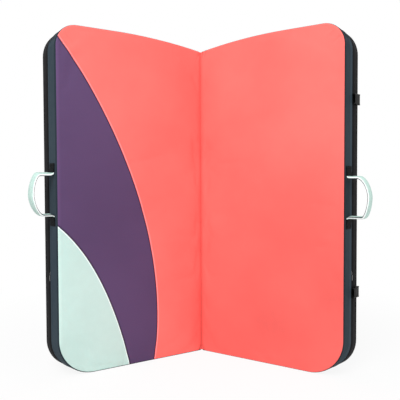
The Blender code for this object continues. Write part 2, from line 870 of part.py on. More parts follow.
def ladder_lock(half, name, x, z):
    """A three-bar adjuster with two slots for webbing."""
    outline = rounded_plate(ladder_width, ladder_length, ladder_side, 2)
    seat = pad_thickness + clearance + ladder_lift

    def lift(a, b, t):
        return (x + a, t, z + b)

    plate = prism(outline, seat, seat + ladder_thickness, lift)
    lock = add(f"{name}_ladder_lock", plate, "buckle", half)
    reach = ladder_width / 2 - ladder_side
    for side in (-1, 1):
        centre = z + side * (ladder_bar / 2 + ladder_gap / 2)
        low = (x - reach, seat - overrun, centre - ladder_gap / 2)
        high = (x + reach, seat + overrun, centre + ladder_gap / 2)
        boolean(lock, "DIFFERENCE", add(f"{name}_ladder_slot_{side}", box(low, high), "buckle", half))


def yoke(half):
    """The stitched panel that holds the tops of both shoulder straps."""
    outline = rounded_plate(yoke_width, yoke_depth, yoke_corner, 3)
    seat = pad_thickness + clearance

    def lift(a, b, t):
        return (harness_centre + a, t, yoke_height + b)

    add("harness_yoke", prism(outline, seat, seat + yoke_wall, lift), "black", half)


def belt(half, socket, plug):
    """A waist belt: a sewn patch, and two padded wings that swing out, each with half a buckle."""
    seat = pad_thickness + clearance
    outline = rounded_plate(belt_patch_width, belt_patch_height, yoke_corner, 3)

    def lift(a, b, t):
        return (harness_centre + a, t, belt_height + b)

    add("belt_patch", prism(outline, seat, seat + yoke_wall, lift), "black", half)
    middle = seat + belt_thickness / 2
    for side, name, mesh in ((1, "outer", socket), (-1, "inner", plug)):
        root = harness_centre + side * belt_root_spread
        stations = []
        for share in steps(0, 1, strap_stations - 1):
            swell = max(math.cos(share * math.pi / 2), 0) ** belt_swell_power
            tall = belt_tip_height + (belt_pad_height - belt_tip_height) * swell
            stations.append((root + side * belt_pad_length * share, belt_height, tall))
        pivot = (root, middle, belt_height)
        wing = padded_strip(stations, belt_thickness)
        wing_obj = add(f"belt_{name}_wing", wing, "black", half, pivot)
        tape_start = root + side * (belt_pad_length - belt_tape_overlap)
        bar = (root + side * (belt_pad_length + belt_tape_length), seat + buckle_height / 2)
        path = eye_path(bar, math.pi if side > 0 else 0, side) + [(tape_start, middle)]
        width = closure_webbing_width / 2

        def tape_point(a, b, t):
            return (a, b, belt_height + t)

        tape = ribbon(path, closure_webbing, -width, width, tape_point)
        boolean(wing_obj, "UNION", add(f"belt_{name}_tape", tape, "black", half, pivot))
        eye = (*bar, belt_height)
        set_buckle(f"belt_{name}_buckle", mesh, half, eye, (side, 0, 0), (0, 1, 0), wing_obj)


def hinge_fabric(root):
    """The strip that joins the two halves: a fold of cloth between the landing panels' rolled edges."""
    turn = Matrix.Rotation(-half_turn, 2)
    wall_x = half_gap - clearance
    crease = axis_proud + edge_roll
    outer_top = turn @ Vector((wall_x, crease))
    outer_end = turn @ Vector((wall_x, crease + hinge_fabric_leg))
    inner_top = turn @ Vector((wall_x - hinge_fabric_wall, crease))
    inner_end = turn @ Vector((wall_x - hinge_fabric_wall, crease + hinge_fabric_leg))
    face = outer_top.y - hinge_fabric_wall
    middle = (0, face + hinge_fabric_sag)
    right = [(outer_top.x * hinge_fabric_face_share, face), outer_top, outer_end, inner_end, inner_top]
    outline = [middle] + [tuple(point) for point in right]
    outline += [(0, inner_top.y + hinge_fabric_sag)]
    outline += [(-point[0], point[1]) for point in reversed(outline[1:-1])]

    def lift(a, b, t):
        return (a, b, t)

    top = pad_height - hinge_droop - hinge_fabric_inset
    bm = prism(outline, hinge_fabric_inset, top, lift)
    centre = Half("fold", 1, root)
    strip = add("hinge_fabric", bm, "coral", centre)
    strip.location = (0, 0, 0)


def stand_on_floor(root):
    """Puts the origin under the middle of the pad's box, at floor height."""
    bpy.context.view_layer.update()
    graph = bpy.context.evaluated_depsgraph_get()
    low, high = Vector((math.inf,) * 3), Vector((-math.inf,) * 3)
    for obj in bpy.data.objects:
        if obj.type != "MESH" or obj.hide_render:
            continue
        shape = obj.evaluated_get(graph)
        for vertex in shape.data.vertices:
            place = shape.matrix_world @ vertex.co
            low = Vector(map(min, low, place))
            high = Vector(map(max, high, place))
    root.location = (-(low.x + high.x) / 2, -(low.y + high.y) / 2, -low.z)
    bpy.context.view_layer.update()


def build():
    clear_scene()
    root = empty("pad_origin", (0, 0, 0))
    left = Half("left", -1, empty("left_half_fold", (0, 0, 0), half_turn, root))
    right = Half("right", 1, empty("right_half_fold", (0, 0, 0), -half_turn, root))
    coloured_landing(left)
    add("right_landing_coral", landing_sheet(), "coral", right)
    for half in (left, right):
        foam_layers(half)
        side_band(half)
        base_cover(half)
        spine_panel(half)
        base_piping(half)
        zip_track(half)
        zip_slider(half)
    handle(left, left_handle_height)
    handle(right, right_handle_height)
    hinge_fabric(root)
    socket, plug = socket_mesh(), plug_mesh()
    for name, height in (("upper", closure_top), ("lower", closure_bottom)):
        closure_socket(right, name, height, socket)
        closure_plug(left, name, height, plug)
    yoke(left)
    shoulder_strap(left, "outer", 1)
    shoulder_strap(left, "inner", -1)
    belt(left, socket, plug)
    stand_on_floor(root)


build()
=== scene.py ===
import json
import math

import bmesh
import bpy
import numpy as np
from mathutils import Matrix, Vector, noise
from mathutils.geometry import interpolate_bezier


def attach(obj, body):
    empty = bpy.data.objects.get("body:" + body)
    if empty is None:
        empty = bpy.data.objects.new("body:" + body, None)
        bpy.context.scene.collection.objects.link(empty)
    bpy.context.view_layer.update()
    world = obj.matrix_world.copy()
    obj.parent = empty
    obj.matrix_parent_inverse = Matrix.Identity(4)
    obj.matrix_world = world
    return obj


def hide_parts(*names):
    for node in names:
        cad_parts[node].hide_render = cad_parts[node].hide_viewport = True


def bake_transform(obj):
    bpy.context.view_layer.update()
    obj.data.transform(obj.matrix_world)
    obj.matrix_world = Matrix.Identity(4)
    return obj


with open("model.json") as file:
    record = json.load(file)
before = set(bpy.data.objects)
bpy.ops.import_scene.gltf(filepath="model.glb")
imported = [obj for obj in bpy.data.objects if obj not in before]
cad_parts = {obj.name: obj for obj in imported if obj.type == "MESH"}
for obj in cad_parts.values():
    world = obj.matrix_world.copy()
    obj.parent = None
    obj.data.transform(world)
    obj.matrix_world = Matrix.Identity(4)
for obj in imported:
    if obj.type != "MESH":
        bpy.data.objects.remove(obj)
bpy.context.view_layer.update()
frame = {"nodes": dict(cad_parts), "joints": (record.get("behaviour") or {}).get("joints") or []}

# Sizes of the pad, in metres and degrees; the radii are those of the low and the high corner
HEIGHT = 1.0
HALF_WIDTH = 0.485
MIDDLE = HALF_WIDTH / 2
THICKNESS = 0.1
LANDING_RADII = (0.108, 0.066)
BASE_RADII = (0.091, 0.082)
TURN = math.radians(34.9)
DROOP = 0.025
DROOP_REACH = 0.3
AXIS_PROUD = 0.004
HALF_GAP = 0.0006
EDGE_ROLL = 0.005
CROWN = 0.0035
CROWN_REACH = 0.194
GROOVE_START = 0.0572
GROOVE_END = 0.0632
GROOVE_DEPTH = 0.003
ZIP_DEPTH = 0.0602
BASE_ROLL = 0.0125
LEFT_RIM = 24
RIGHT_RIM = 42
COVER = 0.0016
GAP = 0.0003
HANDLE_DEPTH = 0.031
HANDLE_WIDTH = 0.034
HANDLE_WALL = 0.004
HANDLE_REACH = 0.062
STRAP_WIDTH = 0.0245
STRAP_WALL = 0.0014
BAR_DEPTH = 0.1058
BELT_HEIGHT = 0.292
FOLD = Vector(next(j for j in frame["joints"] if j["name"] == "pad_fold")["pos_m"])
CORAL_SEAM = ((1.062, 1.01), (0.586, 0.741), (0.24, 0.347), (0.367, -0.01))
MINT_SEAM = ((1.051, 0.455), (0.821, 0.374), (0.654, 0.227), (0.532, -0.01))


# Materials

# The slot of each finish
SLOTS = {}


class Shade:
    """A socket of a material, with the arithmetic that its masks need."""

    def __init__(self, socket):
        self.socket = socket

    def math(self, operation, *others):
        inputs = dict(enumerate((self, *others)))
        return build_node(self.socket.id_data, "Math", {"operation": operation}, inputs)

    def __add__(self, other):
        return self.math("ADD", other)

    def __mul__(self, other):
        return self.math("MULTIPLY", other)

    def __sub__(self, other):
        return self.math("SUBTRACT", other)

    def __rsub__(self, other):
        return build_node(self.socket.id_data, "Math", {"operation": "SUBTRACT"}, {0: other, 1: self})

    __radd__ = __add__
    __rmul__ = __mul__


def feed(socket, value):
    """Links a shade to a socket, or sets a plain value on it."""
    if isinstance(value, Shade):
        socket.id_data.links.new(value.socket, socket)
    else:
        socket.default_value = value


def build_node(tree, kind, settings=None, inputs=None, output=0):
    """Adds a node: its settings first, then the values or links of its sockets."""
    made = tree.nodes.new("ShaderNode" + kind)
    for key, value in (settings or {}).items():
        setattr(made, key, value)
    for key, value in (inputs or {}).items():
        feed(made.inputs[key], value)
    return Shade(made.outputs[output])


def opaque(colour):
    """A colour with its alpha; a shade stays as it is."""
    return colour if isinstance(colour, Shade) else (*colour, 1.0)


class Finish:
    """A material under construction: its nodes and its Principled shader."""

    def __init__(self, name, slot=None):
        self.material = bpy.data.materials.new(name)
        self.material.use_nodes = True
        self.tree = self.material.node_tree
        self.shader = self.tree.nodes["Principled BSDF"]
        SLOTS[self.material] = slot

    def node(self, kind, settings=None, inputs=None, output=0):
        return build_node(self.tree, kind, settings, inputs, output)

    def attribute(self, name, output="Vector"):
        return self.node("Attribute", {"attribute_name": name}, output=output)

    def object_place(self):
        return self.node("TexCoord", output="Object")

    def parts(self, vector):
        split = self.node("SeparateXYZ", inputs={0: vector})
        return [Shade(s) for s in split.socket.node.outputs]

    def noise(self, place, scale, detail):
        return self.node("TexNoise", inputs={"Vector": place, "Scale": scale, "Detail": detail})

    def smooth(self, value, low, high, start=0.0, end=1.0):
        inputs = {"Value": value, "From Min": low, "From Max": high, "To Min": start, "To Max": end}
        return self.node("MapRange", {"interpolation_type": "SMOOTHSTEP"}, inputs)

    def mix(self, one, two, share):
        inputs = {0: share, 6: opaque(one), 7: opaque(two)}
        return self.node("Mix", {"data_type": "RGBA"}, inputs, output=2)

    def scaled(self, colour, share):
        return self.node("VectorMath", {"operation": "SCALE"}, {0: colour, "Scale": share})

    def bump(self, height, distance, strength, under=None):
        inputs = {"Height": height, "Distance": distance, "Strength": strength}
        if under:
            inputs["Normal"] = under
        return self.node("Bump", inputs=inputs)

    def done(self, colour, rough, normal=None, gloss=None, metal=None):
        """Feeds the shader and gives the material."""
        values = {"Base Color": opaque(colour), "Roughness": rough, "Normal": normal,
                  "Specular IOR Level": gloss, "Metallic": metal}
        for name, value in values.items():
            if value is not None:
                feed(self.shader.inputs[name], value)
        return self.material


def plain_weave(finish, u, v, pitch):
    """Height of a plain weave: warp and weft pass over each other in turn."""
    across = (u * (math.pi / pitch)).math("SINE")
    along = (v * (math.pi / pitch)).math("SINE")
    over = finish.smooth(across * along, -0.2, 0.2)
    return across.math("ABSOLUTE") * over + along.math("ABSOLUTE") * (1 - over)


def cover_cloth(name, slot, colour, dark, pitch=0.0011, gloss=0.18, seam_shade=None, seam_highlight=None):
    """Coated nylon: a fine weave, slow changes of tone, painted light and shade carried on the mesh, and
    beside the seams either a line of painted shade or a painted highlight on the turned edge.
    """
    finish = Finish(name, slot)
    place = finish.attribute("cloth")
    u, v, w = finish.parts(place)
    small = finish.noise(place, 46, 3)
    base = finish.mix(dark, colour, finish.smooth(finish.noise(place, 3.2, 3), 0.3, 0.7))
    weave = plain_weave(finish, u, v, pitch)
    shade = finish.smooth(weave, 0.0, 0.9, 0.93, 1.0) * finish.smooth(small, 0.25, 0.75, 0.975, 1.0)
    # Painted light and shade, carried on the mesh's vertices.
    shade = shade * (finish.attribute("painted_light", output="Fac") + 1)
    seam = finish.attribute("seam", output="Fac")
    # Painted shade in the seam's groove.
    if seam_shade:
        shade = shade * finish.smooth(seam, 0.0003, seam_shade, 0.35, 1.0)
    # A painted highlight on the turned edge beside the seam.
    if seam_highlight:
        ridge = finish.smooth(seam, 0.0004, 0.0010) * finish.smooth(seam, 0.0032, 0.0048, 1.0, 0.0)
        base = finish.mix(base, seam_highlight, ridge)
    rough = finish.smooth(small, 0.2, 0.8, 0.61, 0.72)
    lumps = finish.bump(small, 0.0004, 0.35)
    return finish.done(finish.scaled(base, shade), rough, finish.bump(weave, 0.00009, 0.6, lumps), gloss)


def webbing_cloth(name, slot, colour, dark, rib=0.0016, gloss=0.2, edge=None, inner=None):
    """Woven strap: fine ribs across its length and a chevron in the middle of its width.

    edge is (half width, colour) of a painted highlight on its rolled edges, and inner is (height, colour) of
    a line of painted shade inside them.
    """
    finish = Finish(name, slot)
    place = finish.attribute("cloth")
    u, v, w = finish.parts(place)
    off = v.math("ABSOLUTE")
    ribs = ((u + off * 0.9) * (math.pi / rib)).math("SINE").math("ABSOLUTE")
    threads = (v * (math.pi / (rib * 0.55))).math("SINE").math("ABSOLUTE")
    height = ribs * 0.7 + threads * 0.3
    small = finish.noise(place, 60, 2)
    base = finish.mix(dark, colour, finish.smooth(height, 0.05, 0.7))
    # A painted highlight on the rolled edges.
    if edge:
        base = finish.mix(base, edge[1], finish.smooth(off, edge[0] - 0.0012, edge[0]))
    # A line of painted shade inside the edges.
    if inner:
        line = finish.smooth(w, inner[0] - 0.0005, inner[0])
        line = line * finish.smooth(off, edge[0] - 0.0024, edge[0] - 0.0016)
        base = finish.mix(base, inner[1], line)
    base = finish.scaled(base, finish.smooth(small, 0.2, 0.8, 0.93, 1.0))
    rough = finish.smooth(small, 0.2, 0.8, 0.55, 0.68)
    return finish.done(base, rough, finish.bump(height, 0.00022, 0.8), gloss)


def moulded_plastic(name, colour):
    """Acetal: a fine spark-eroded grain, a little worn."""
    finish = Finish(name)
    place = finish.object_place()
    wear = finish.noise(place, 55, 4)
    worn = [c * 1.8 + 0.002 for c in colour]
    base = finish.mix(colour, worn, finish.smooth(wear, 0.5, 0.75))
    rough = finish.smooth(wear, 0.3, 0.7, 0.42, 0.56)
    return finish.done(base, rough, finish.bump(finish.noise(place, 900, 2), 0.00006, 0.5), gloss=0.08)


def painted_metal(name, colour):
    """Lacquered zinc: worn through to bare metal in small places."""
    finish = Finish(name)
    wear = finish.noise(finish.object_place(), 420, 4)
    worn = finish.smooth(wear, 0.6, 0.72)
    base = finish.mix(colour, (0.32, 0.31, 0.3), worn)
    rough = finish.smooth(wear, 0.3, 0.7, 0.28, 0.42)
    return finish.done(base, rough, finish.bump(wear, 0.00005, 0.4), metal=worn)


def cut_foam(name, colour, dark, cell):
    """Sawn foam: open cells with painted shade in their hollows."""
    finish = Finish(name)
    inputs = {"Vector": finish.object_place(), "Scale": 1 / cell}
    cells = finish.node("TexVoronoi", {"feature": "F1"}, inputs)
    # Painted shade in the cells' hollows.
    base = finish.mix(colour, dark, finish.smooth(cells, 0.1, 0.7))
    rough = finish.smooth(cells, 0.1, 0.7, 0.85, 0.98)
    return finish.done(base, rough, finish.bump(cells, -cell * 0.3, 0.8))


# The coral and mint panels have a painted highlight beside their seams; the purple panel has painted shade
# there.
CORAL = cover_cloth("coral_cover", "coral_cloth", (1.0, 0.166, 0.144), (0.93, 0.140, 0.122),
                    seam_highlight=(1.0, 0.245, 0.25))
PURPLE = cover_cloth("purple_cover", "purple_cloth", (0.095, 0.053, 0.134), (0.083, 0.046, 0.118),
                     seam_shade=0.0058)
MINT = cover_cloth("mint_cover", "mint_cloth", (0.53, 0.73, 0.68), (0.49, 0.69, 0.64),
                   seam_highlight=(0.80, 0.95, 0.93))
SLATE = cover_cloth("slate_cover", "slate_cloth", (0.031, 0.046, 0.058), (0.024, 0.037, 0.049),
                    pitch=0.0014, gloss=0.04)
BLACK = cover_cloth("black_cover", "black_cloth", (0.014, 0.014, 0.015), (0.009, 0.009, 0.010),
                    pitch=0.0014, gloss=0.04)
HARNESS = cover_cloth("harness_cover", "black_cloth", (0.036, 0.037, 0.039), (0.027, 0.028, 0.030),
                      pitch=0.0016, gloss=0.05)
PIPING = cover_cloth("piping_sleeve", "black_webbing", (0.028, 0.028, 0.030), (0.021, 0.021, 0.023),
                     pitch=0.0009, gloss=0.05)
# The mint webbing's pale edges are a painted highlight, and its dark inner line is painted shade.
MINT_WEB = webbing_cloth("mint_web", "mint_webbing", (0.54, 0.72, 0.66), (0.44, 0.61, 0.56),
                         edge=(0.0158, (0.86, 0.93, 0.92)), inner=(0.0007, (0.03, 0.035, 0.04)))
BLACK_WEB = webbing_cloth("black_web", "black_webbing", (0.012, 0.012, 0.013), (0.006, 0.006, 0.007),
                          gloss=0.05)
PATCH_WEB = webbing_cloth("patch_web", "black_webbing", (0.008, 0.009, 0.010), (0.004, 0.0045, 0.005),
                          gloss=0.02)
THREAD = webbing_cloth("black_thread", "black_webbing", (0.030, 0.030, 0.032), (0.02, 0.02, 0.022),
                       rib=0.0006)
PLASTIC = moulded_plastic("black_acetal", (0.004, 0.004, 0.0045))
METAL = painted_metal("black_zinc", (0.016, 0.016, 0.017))
SEALED_FOAM = cut_foam("sealed_foam", (0.26, 0.28, 0.30), (0.15, 0.16, 0.18), 0.0012)
OPEN_FOAM = cut_foam("open_foam", (0.62, 0.60, 0.42), (0.40, 0.38, 0.26), 0.0022)


# The pad's outline


def eased(t):
    t = min(max(t, 0.0), 1.0)
    return t * t * (3 - 2 * t)


def rise(share):
    share = min(max(share, 0.0), 1.0)
    return 1 - (1 - share) ** 2


def hang(verts):
    """The top corners at the fold hang a little, and the cloth below follows them."""
    for v in verts:
        share = max(0.0, 1 - abs(v.co.x) / DROOP_REACH)
        v.co.z -= DROOP * share ** 2 * eased((v.co.z - HEIGHT / 2) / 0.45)


class Outline:
    """A half's edge at one depth: three straight runs and two corners, each with its own radius."""

    def __init__(self, low, high):
        self.low = low
        self.high = high
        self.low_centre = (HALF_WIDTH - low, low)
        self.high_centre = (HALF_WIDTH - high, HEIGHT - high)
        arcs = low * math.pi / 2, high * math.pi / 2
        self.lengths = (HALF_WIDTH - low, arcs[0], HEIGHT - low - high, arcs[1], HALF_WIDTH - high)

    def unroll(self, x, z):
        """(length round the outline from the fold's bottom, distance inside the outline) of a point."""
        bottom, low_arc, side, high_arc, top = self.lengths
        if x > self.low_centre[0] and z < self.low_centre[1]:
            dx, dz = x - self.low_centre[0], self.low_centre[1] - z
            return bottom + self.low * math.atan2(dx, dz), self.low - math.hypot(dx, dz)
        if x > self.high_centre[0] and z > self.high_centre[1]:
            dx, dz = x - self.high_centre[0], z - self.high_centre[1]
            return bottom + low_arc + side + self.high * math.atan2(dz, dx), self.high - math.hypot(dx, dz)
        inside = HALF_WIDTH - x
        if inside < z and inside < HEIGHT - z:
            return bottom + low_arc + z - self.low, inside
        if z < HEIGHT / 2:
            return x, z
        return bottom + low_arc + side + high_arc + top - x, HEIGHT - z

    def outward(self, x, z):
        """The direction out of the outline at a point near it, in x and z."""
        if x > self.low_centre[0] and z < self.low_centre[1]:
            return Vector((x - self.low_centre[0], z - self.low_centre[1])).normalized()
        if x > self.high_centre[0] and z > self.high_centre[1]:
            return Vector((x - self.high_centre[0], z - self.high_centre[1])).normalized()
        inside = HALF_WIDTH - x
        if inside < z and inside < HEIGHT - z:
            return Vector((1.0, 0.0))
        return Vector((0.0, -1.0 if z < HEIGHT / 2 else 1.0))

    def round_corners(self, x, z):
        """Turns a grid's square corners into quarters of a disc."""
        for centre, up in ((self.low_centre, -1), (self.high_centre, 1)):
            dx, dz = x - centre[0], (z - centre[1]) * up
            if dx > 0 and dz > 0:
                radius = max(dx, dz)
                angle = math.pi / 4 * (dz / dx if dx > dz else 2 - dx / dz)
                return centre[0] + radius * math.cos(angle), centre[1] + up * radius * math.sin(angle)
        return x, z

    def stations(self, pitch, start):
        """(x, z, outward) at an even pitch round a half's bottom, outer side and top."""
        total = sum(self.lengths)
        count = int((total - 2 * start) / pitch)
        for k in range(count + 1):
            s = start + (total - 2 * start) * k / count
            part = 0
            while part < 4 and s > self.lengths[part]:
                s -= self.lengths[part]
                part += 1
            if part in (1, 3):
                radius, centre = (self.low, self.low_centre) if part == 1 else (self.high, self.high_centre)
                angle = s / radius - (math.pi / 2 if part == 1 else 0)
                out = (math.cos(angle), math.sin(angle))
                x, z = centre[0] + radius * out[0], centre[1] + radius * out[1]
            else:
                straight = {0: (s, 0, 0, -1), 2: (HALF_WIDTH, self.low + s, 1, 0),
                            4: (self.high_centre[0] - s, HEIGHT, 0, 1)}
                x, z, *out = straight[part]
            yield x, z, Vector((out[0], 0, out[1]))


def outline_at(depth):
    """The landing's corners turn over into the base's along the thickness."""
    share = min(max(depth / THICKNESS, 0.0), 1.0)
    return Outline(*(a + (b - a) * share for a, b in zip(LANDING_RADII, BASE_RADII)))


LANDING = outline_at(0.0)
BASE = outline_at(THICKNESS)


def settle(bm, built):
    """Moves what was swept round one outline to the outline that its own depth has."""
    near = 0.02
    for v in bm.verts:
        x, z = abs(v.co.x), v.co.z
        if built.unroll(x, z)[1] > near:
            continue
        there = outline_at(v.co.y)
        low, high = built.low - there.low, built.high - there.high
        edge, centre, up = (low, built.low_centre, 1) if z < HEIGHT / 2 else (high, built.high_centre, -1)
        dx, dz = x - centre[0], (centre[1] - z) * up
        if dx > 0 and dz > 0:
            reach = math.hypot(dx, dz)
            shift_x, shift_z = edge * (1 - dx / reach), -edge * (1 - dz / reach) * up
        elif HALF_WIDTH - x < near:
            share = (z - built.low) / (HEIGHT - built.low - built.high)
            shift_x, shift_z = 0.0, -low + (low + high) * share
        else:
            shift_x, shift_z = edge * x / centre[0], 0.0
        v.co.x += math.copysign(1, v.co.x) * shift_x
        v.co.z += shift_z


class Half:
    """One half of the pad: its body, and how its own x, y and z lie in the frame."""

    def __init__(self, name, sign):
        self.name = name
        self.body = f"{name}_half"
        self.sign = sign
        self.matrix = (
            Matrix.Translation(FOLD) @ Matrix.Rotation(-sign * TURN, 4, "Z")
            @ Matrix.Translation((0, AXIS_PROUD, 0)) @ Matrix.Diagonal((sign, 1, 1, 1))
        )

    def at(self, x, y, z):
        return self.matrix @ Vector((x, y, z))


LEFT = Half("left", -1)
RIGHT = Half("right", 1)


# Making pieces


def of_kind(geom, kind):
    return [g for g in geom if isinstance(g, kind)]


def cloth_layer(bm):
    return bm.verts.layers.float_vector.get("cloth") or bm.verts.layers.float_vector.new("cloth")


def stamp(bm, verts=None, order=(0, 2, 1)):
    """Cloth coordinates: along the cloth, across it and through it, as an order of x, y and z."""
    layer = cloth_layer(bm)
    for v in verts or bm.verts:
        v[layer] = [v.co[axis] for axis in order]


def to_object(name, bm, finish, sharp=40):
    mesh = bpy.data.meshes.new(name)
    bm.to_mesh(mesh)
    bm.free()
    mesh.shade_smooth()
    mesh.set_sharp_from_angle(angle=math.radians(sharp))
    mesh.materials.append(finish)
    obj = bpy.data.objects.new(name, mesh)
    bpy.context.scene.collection.objects.link(obj)
    return obj


def dress(obj, finish, body, stands_for=(), soft=None, bends=None, slot=None):
    """Hangs a piece on its body, or, for cloth that crosses a joint, bakes its place into its mesh instead,
    and hides the solids it stands for.

    bends is (body at the start, body at the end, start, end) for cloth that crosses a joint.
    """
    if bends:
        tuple(bends[2])
        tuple(bends[3])
        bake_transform(obj)
    else:
        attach(obj, body)
    slot or SLOTS[finish]
    if stands_for:
        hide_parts(*stands_for)
    return obj


def place(name, bm, finish, half, body=None, sharp=40, **marks):
    """Turns a shape from its half's frame into the whole frame and dresses the piece that it makes."""
    bmesh.ops.transform(bm, matrix=half.matrix, verts=bm.verts)
    if half.sign < 0:
        bmesh.ops.reverse_faces(bm, faces=bm.faces)
    return dress(to_object(name, bm, finish, sharp), finish, body or half.body, **marks)


def drop(*objects):
    for obj in objects:
        bpy.data.objects.remove(obj, do_unlink=True)


def evaluated_mesh(obj):
    graph = bpy.context.evaluated_depsgraph_get()
    return bpy.data.meshes.new_from_object(obj.evaluated_get(graph))


def thicken(obj):
    wall = obj.modifiers.new("wall", "SOLIDIFY")
    wall.thickness = COVER
    wall.offset = -1
    return wall


def close_holes(bm):
    rim = [e for e in bm.edges if e.is_boundary]
    if rim:
        bmesh.ops.holes_fill(bm, edges=rim, sides=0)
    bmesh.ops.recalc_face_normals(bm, faces=bm.faces)


def add_wall(bm, thickness):
    bmesh.ops.solidify(bm, geom=bm.faces[:], thickness=thickness)
    bmesh.ops.recalc_face_normals(bm, faces=bm.faces)


def grow(bm, edges):
    """Extrudes a row of edges: gives the new edges, and what each new vertex grew from."""
    old = {v for e in edges for v in e.verts}
    made = bmesh.ops.extrude_edge_only(bm, edges=edges)["geom"]
    sources = {}
    for v in of_kind(made, bmesh.types.BMVert):
        sources[v] = next(e.other_vert(v) for e in v.link_edges if e.other_vert(v) in old)
    return of_kind(made, bmesh.types.BMEdge), sources


def prism(bm, corners, vector):
    """Draws a face out along a vector into a prism, and gives its far face."""
    face = bm.faces.new([bm.verts.new(corner) for corner in corners])
    made = bmesh.ops.extrude_face_region(bm, geom=[face])["geom"]
    bmesh.ops.translate(bm, vec=vector, verts=of_kind(made, bmesh.types.BMVert))
    return of_kind(made, bmesh.types.BMFace)[0]


def ring_of(bm, points):
    ring = [bm.verts.new(point) for point in points]
    return ring, [bm.edges.new(pair) for pair in zip(ring, ring[1:] + ring[:1])]


def round_the_half(profile, straight=40, ripple=0.0, seed=0.0, start=HALF_GAP):
    """Sweeps a closed (inset, depth) profile round the half's bottom, outer side and top."""
    bm = bmesh.new()
    ring, edges = ring_of(bm, [(start, depth, inset) for inset, depth in profile])
    geom = ring + edges
    low, high = LANDING.low_centre, LANDING.high_centre
    still, quarter, corner = (0, 0, 0), -math.pi / 2, 16
    moves = (
        (straight, 0, ((low[0] - start) / straight, 0, 0), still),
        (corner, quarter, still, (low[0], 0, low[1])),
        (straight * 2, 0, (0, 0, LANDING.lengths[2] / (straight * 2)), still),
        (corner, quarter, still, (high[0], 0, high[1])),
        (straight, 0, (-(high[0] - start) / straight, 0, 0), still),
    )
    for steps, angle, step, centre in moves:
        made = bmesh.ops.spin(bm, geom=geom, angle=angle, steps=steps, dvec=step, cent=centre, axis=(0, 1, 0))
        geom = made["geom_last"]
    close_holes(bm)
    layer = cloth_layer(bm)
    for v in bm.verts:
        s, inset = LANDING.unroll(v.co.x, v.co.z)
        v[layer] = (s, v.co.y - inset, inset)
        push = LANDING.outward(v.co.x, v.co.z)
        push *= noise.noise(Vector((s * 9, v.co.y * 14, seed))) * ripple
        v.co += Vector((push.x, 0, push.y))
    settle(bm, LANDING)
    hang(bm.verts)
    return bm


def sweep(frames, section, bm=None):
    """Draws a section (a, b) along a row of matrices, whose x and y axes span the section."""
    bm = bm or bmesh.new()
    layer = cloth_layer(bm)
    ring, edges = ring_of(bm, [frames[0] @ Vector((a, b, 0)) for a, b in section(0)])
    travelled = 0.0
    for i, matrix in enumerate(frames):
        if i:
            travelled += (matrix.translation - frames[i - 1].translation).length
            edges, sources = grow(bm, edges)
            grown = {source: v for v, source in sources.items()}
            ring = [grown[v] for v in ring]
        for v, (a, b) in zip(ring, section(i / (len(frames) - 1))):
            v.co = matrix @ Vector((a, b, 0))
            v[layer] = (travelled, a, b)
    close_holes(bm)
    return bm


def frames_along(points, across=None, face=None):
    """Frames along a path: x over the strap's width, y out of its face, z along it."""
    frames = []
    for i, point in enumerate(points):
        along = (points[min(i + 1, len(points) - 1)] - points[max(i - 1, 0)]).normalized()
        if across is None:
            side, front = -along.cross(face).normalized(), face
        else:
            side, front = across, along.cross(across).normalized()
        matrix = Matrix((side, front, along)).transposed().to_4x4()
        matrix.translation = point
        frames.append(matrix)
    return frames


def strap_section(width, thickness):
    """A webbing's section: flat faces and round edges."""
    round_edge = thickness / 2
    half = width / 2 - round_edge
    angles = [math.pi * k / 4 for k in range(5)]
    right = [(half + round_edge * math.sin(a), -round_edge * math.cos(a)) for a in angles]
    return right + [(-a, -b) for a, b in right]


def strap(points, across):
    section = strap_section(STRAP_WIDTH, STRAP_WALL)
    return sweep(frames_along(points, across), lambda share: section)


def stitch(bm, matrix, size, order=(0, 2, 1)):
    """One thread stitch: a small rounded bar."""
    cloth_layer(bm)
    matrix = matrix @ Matrix.Diagonal((*size, 1))
    made = bmesh.ops.create_icosphere(bm, subdivisions=1, radius=0.5, matrix=matrix)
    stamp(bm, made["verts"], order)


def stitches(bm, corners, pitch, normal, closed=True):
    """Lays thread stitches along a row of points."""
    points = [Vector(p) for p in corners]
    if closed:
        points.append(points[0])
    for p, q in zip(points, points[1:]):
        run = (q - p).length
        count = max(1, round(run / pitch))
        along = (q - p).normalized()
        turn = Matrix((along, normal.cross(along).normalized(), normal)).transposed().to_4x4()
        for k in range(count):
            centre = p.lerp(q, (k + 0.5) / count)
            stitch(bm, Matrix.Translation(centre) @ turn, (run / count * 0.6, 0.0005, 0.0005))


def coordinates(mesh):
    flat = np.empty(len(mesh.vertices) * 3)
    mesh.vertices.foreach_get("co", flat)
    return flat.reshape(-1, 3)


def simulate(obj, pins, pressure, cap, shrink=0.0):
    """Inflates a mesh a little with a cloth simulation and keeps the result as its shape."""
    scene = bpy.context.scene
    before = coordinates(obj.data)
    cloth = obj.modifiers.new("cloth", "CLOTH")
    obj.vertex_groups.new(name="pins").add(pins, 1.0, "REPLACE")
    settings = cloth.settings
    settings.vertex_group_mass = "pins"
    settings.quality = 6
    settings.mass = 0.3
    settings.tension_stiffness = 12
    settings.compression_stiffness = 12
    settings.bending_stiffness = 0.5
    settings.use_pressure = True
    settings.uniform_pressure_force = pressure
    settings.shrink_min = shrink
    settings.effector_weights.gravity = 0
    last_frame = 20
    cloth.point_cache.frame_end = last_frame
    for number in range(1, last_frame + 1):
        scene.frame_set(number)
    graph = bpy.context.evaluated_depsgraph_get()
    move = coordinates(obj.evaluated_get(graph).data) - before
    move *= cap / (cap + np.linalg.norm(move, axis=1, keepdims=True))
    obj.modifiers.remove(cloth)
    obj.data.vertices.foreach_set("co", (before + move).ravel())
    obj.data.update()
    scene.frame_set(1)


# The landing cover


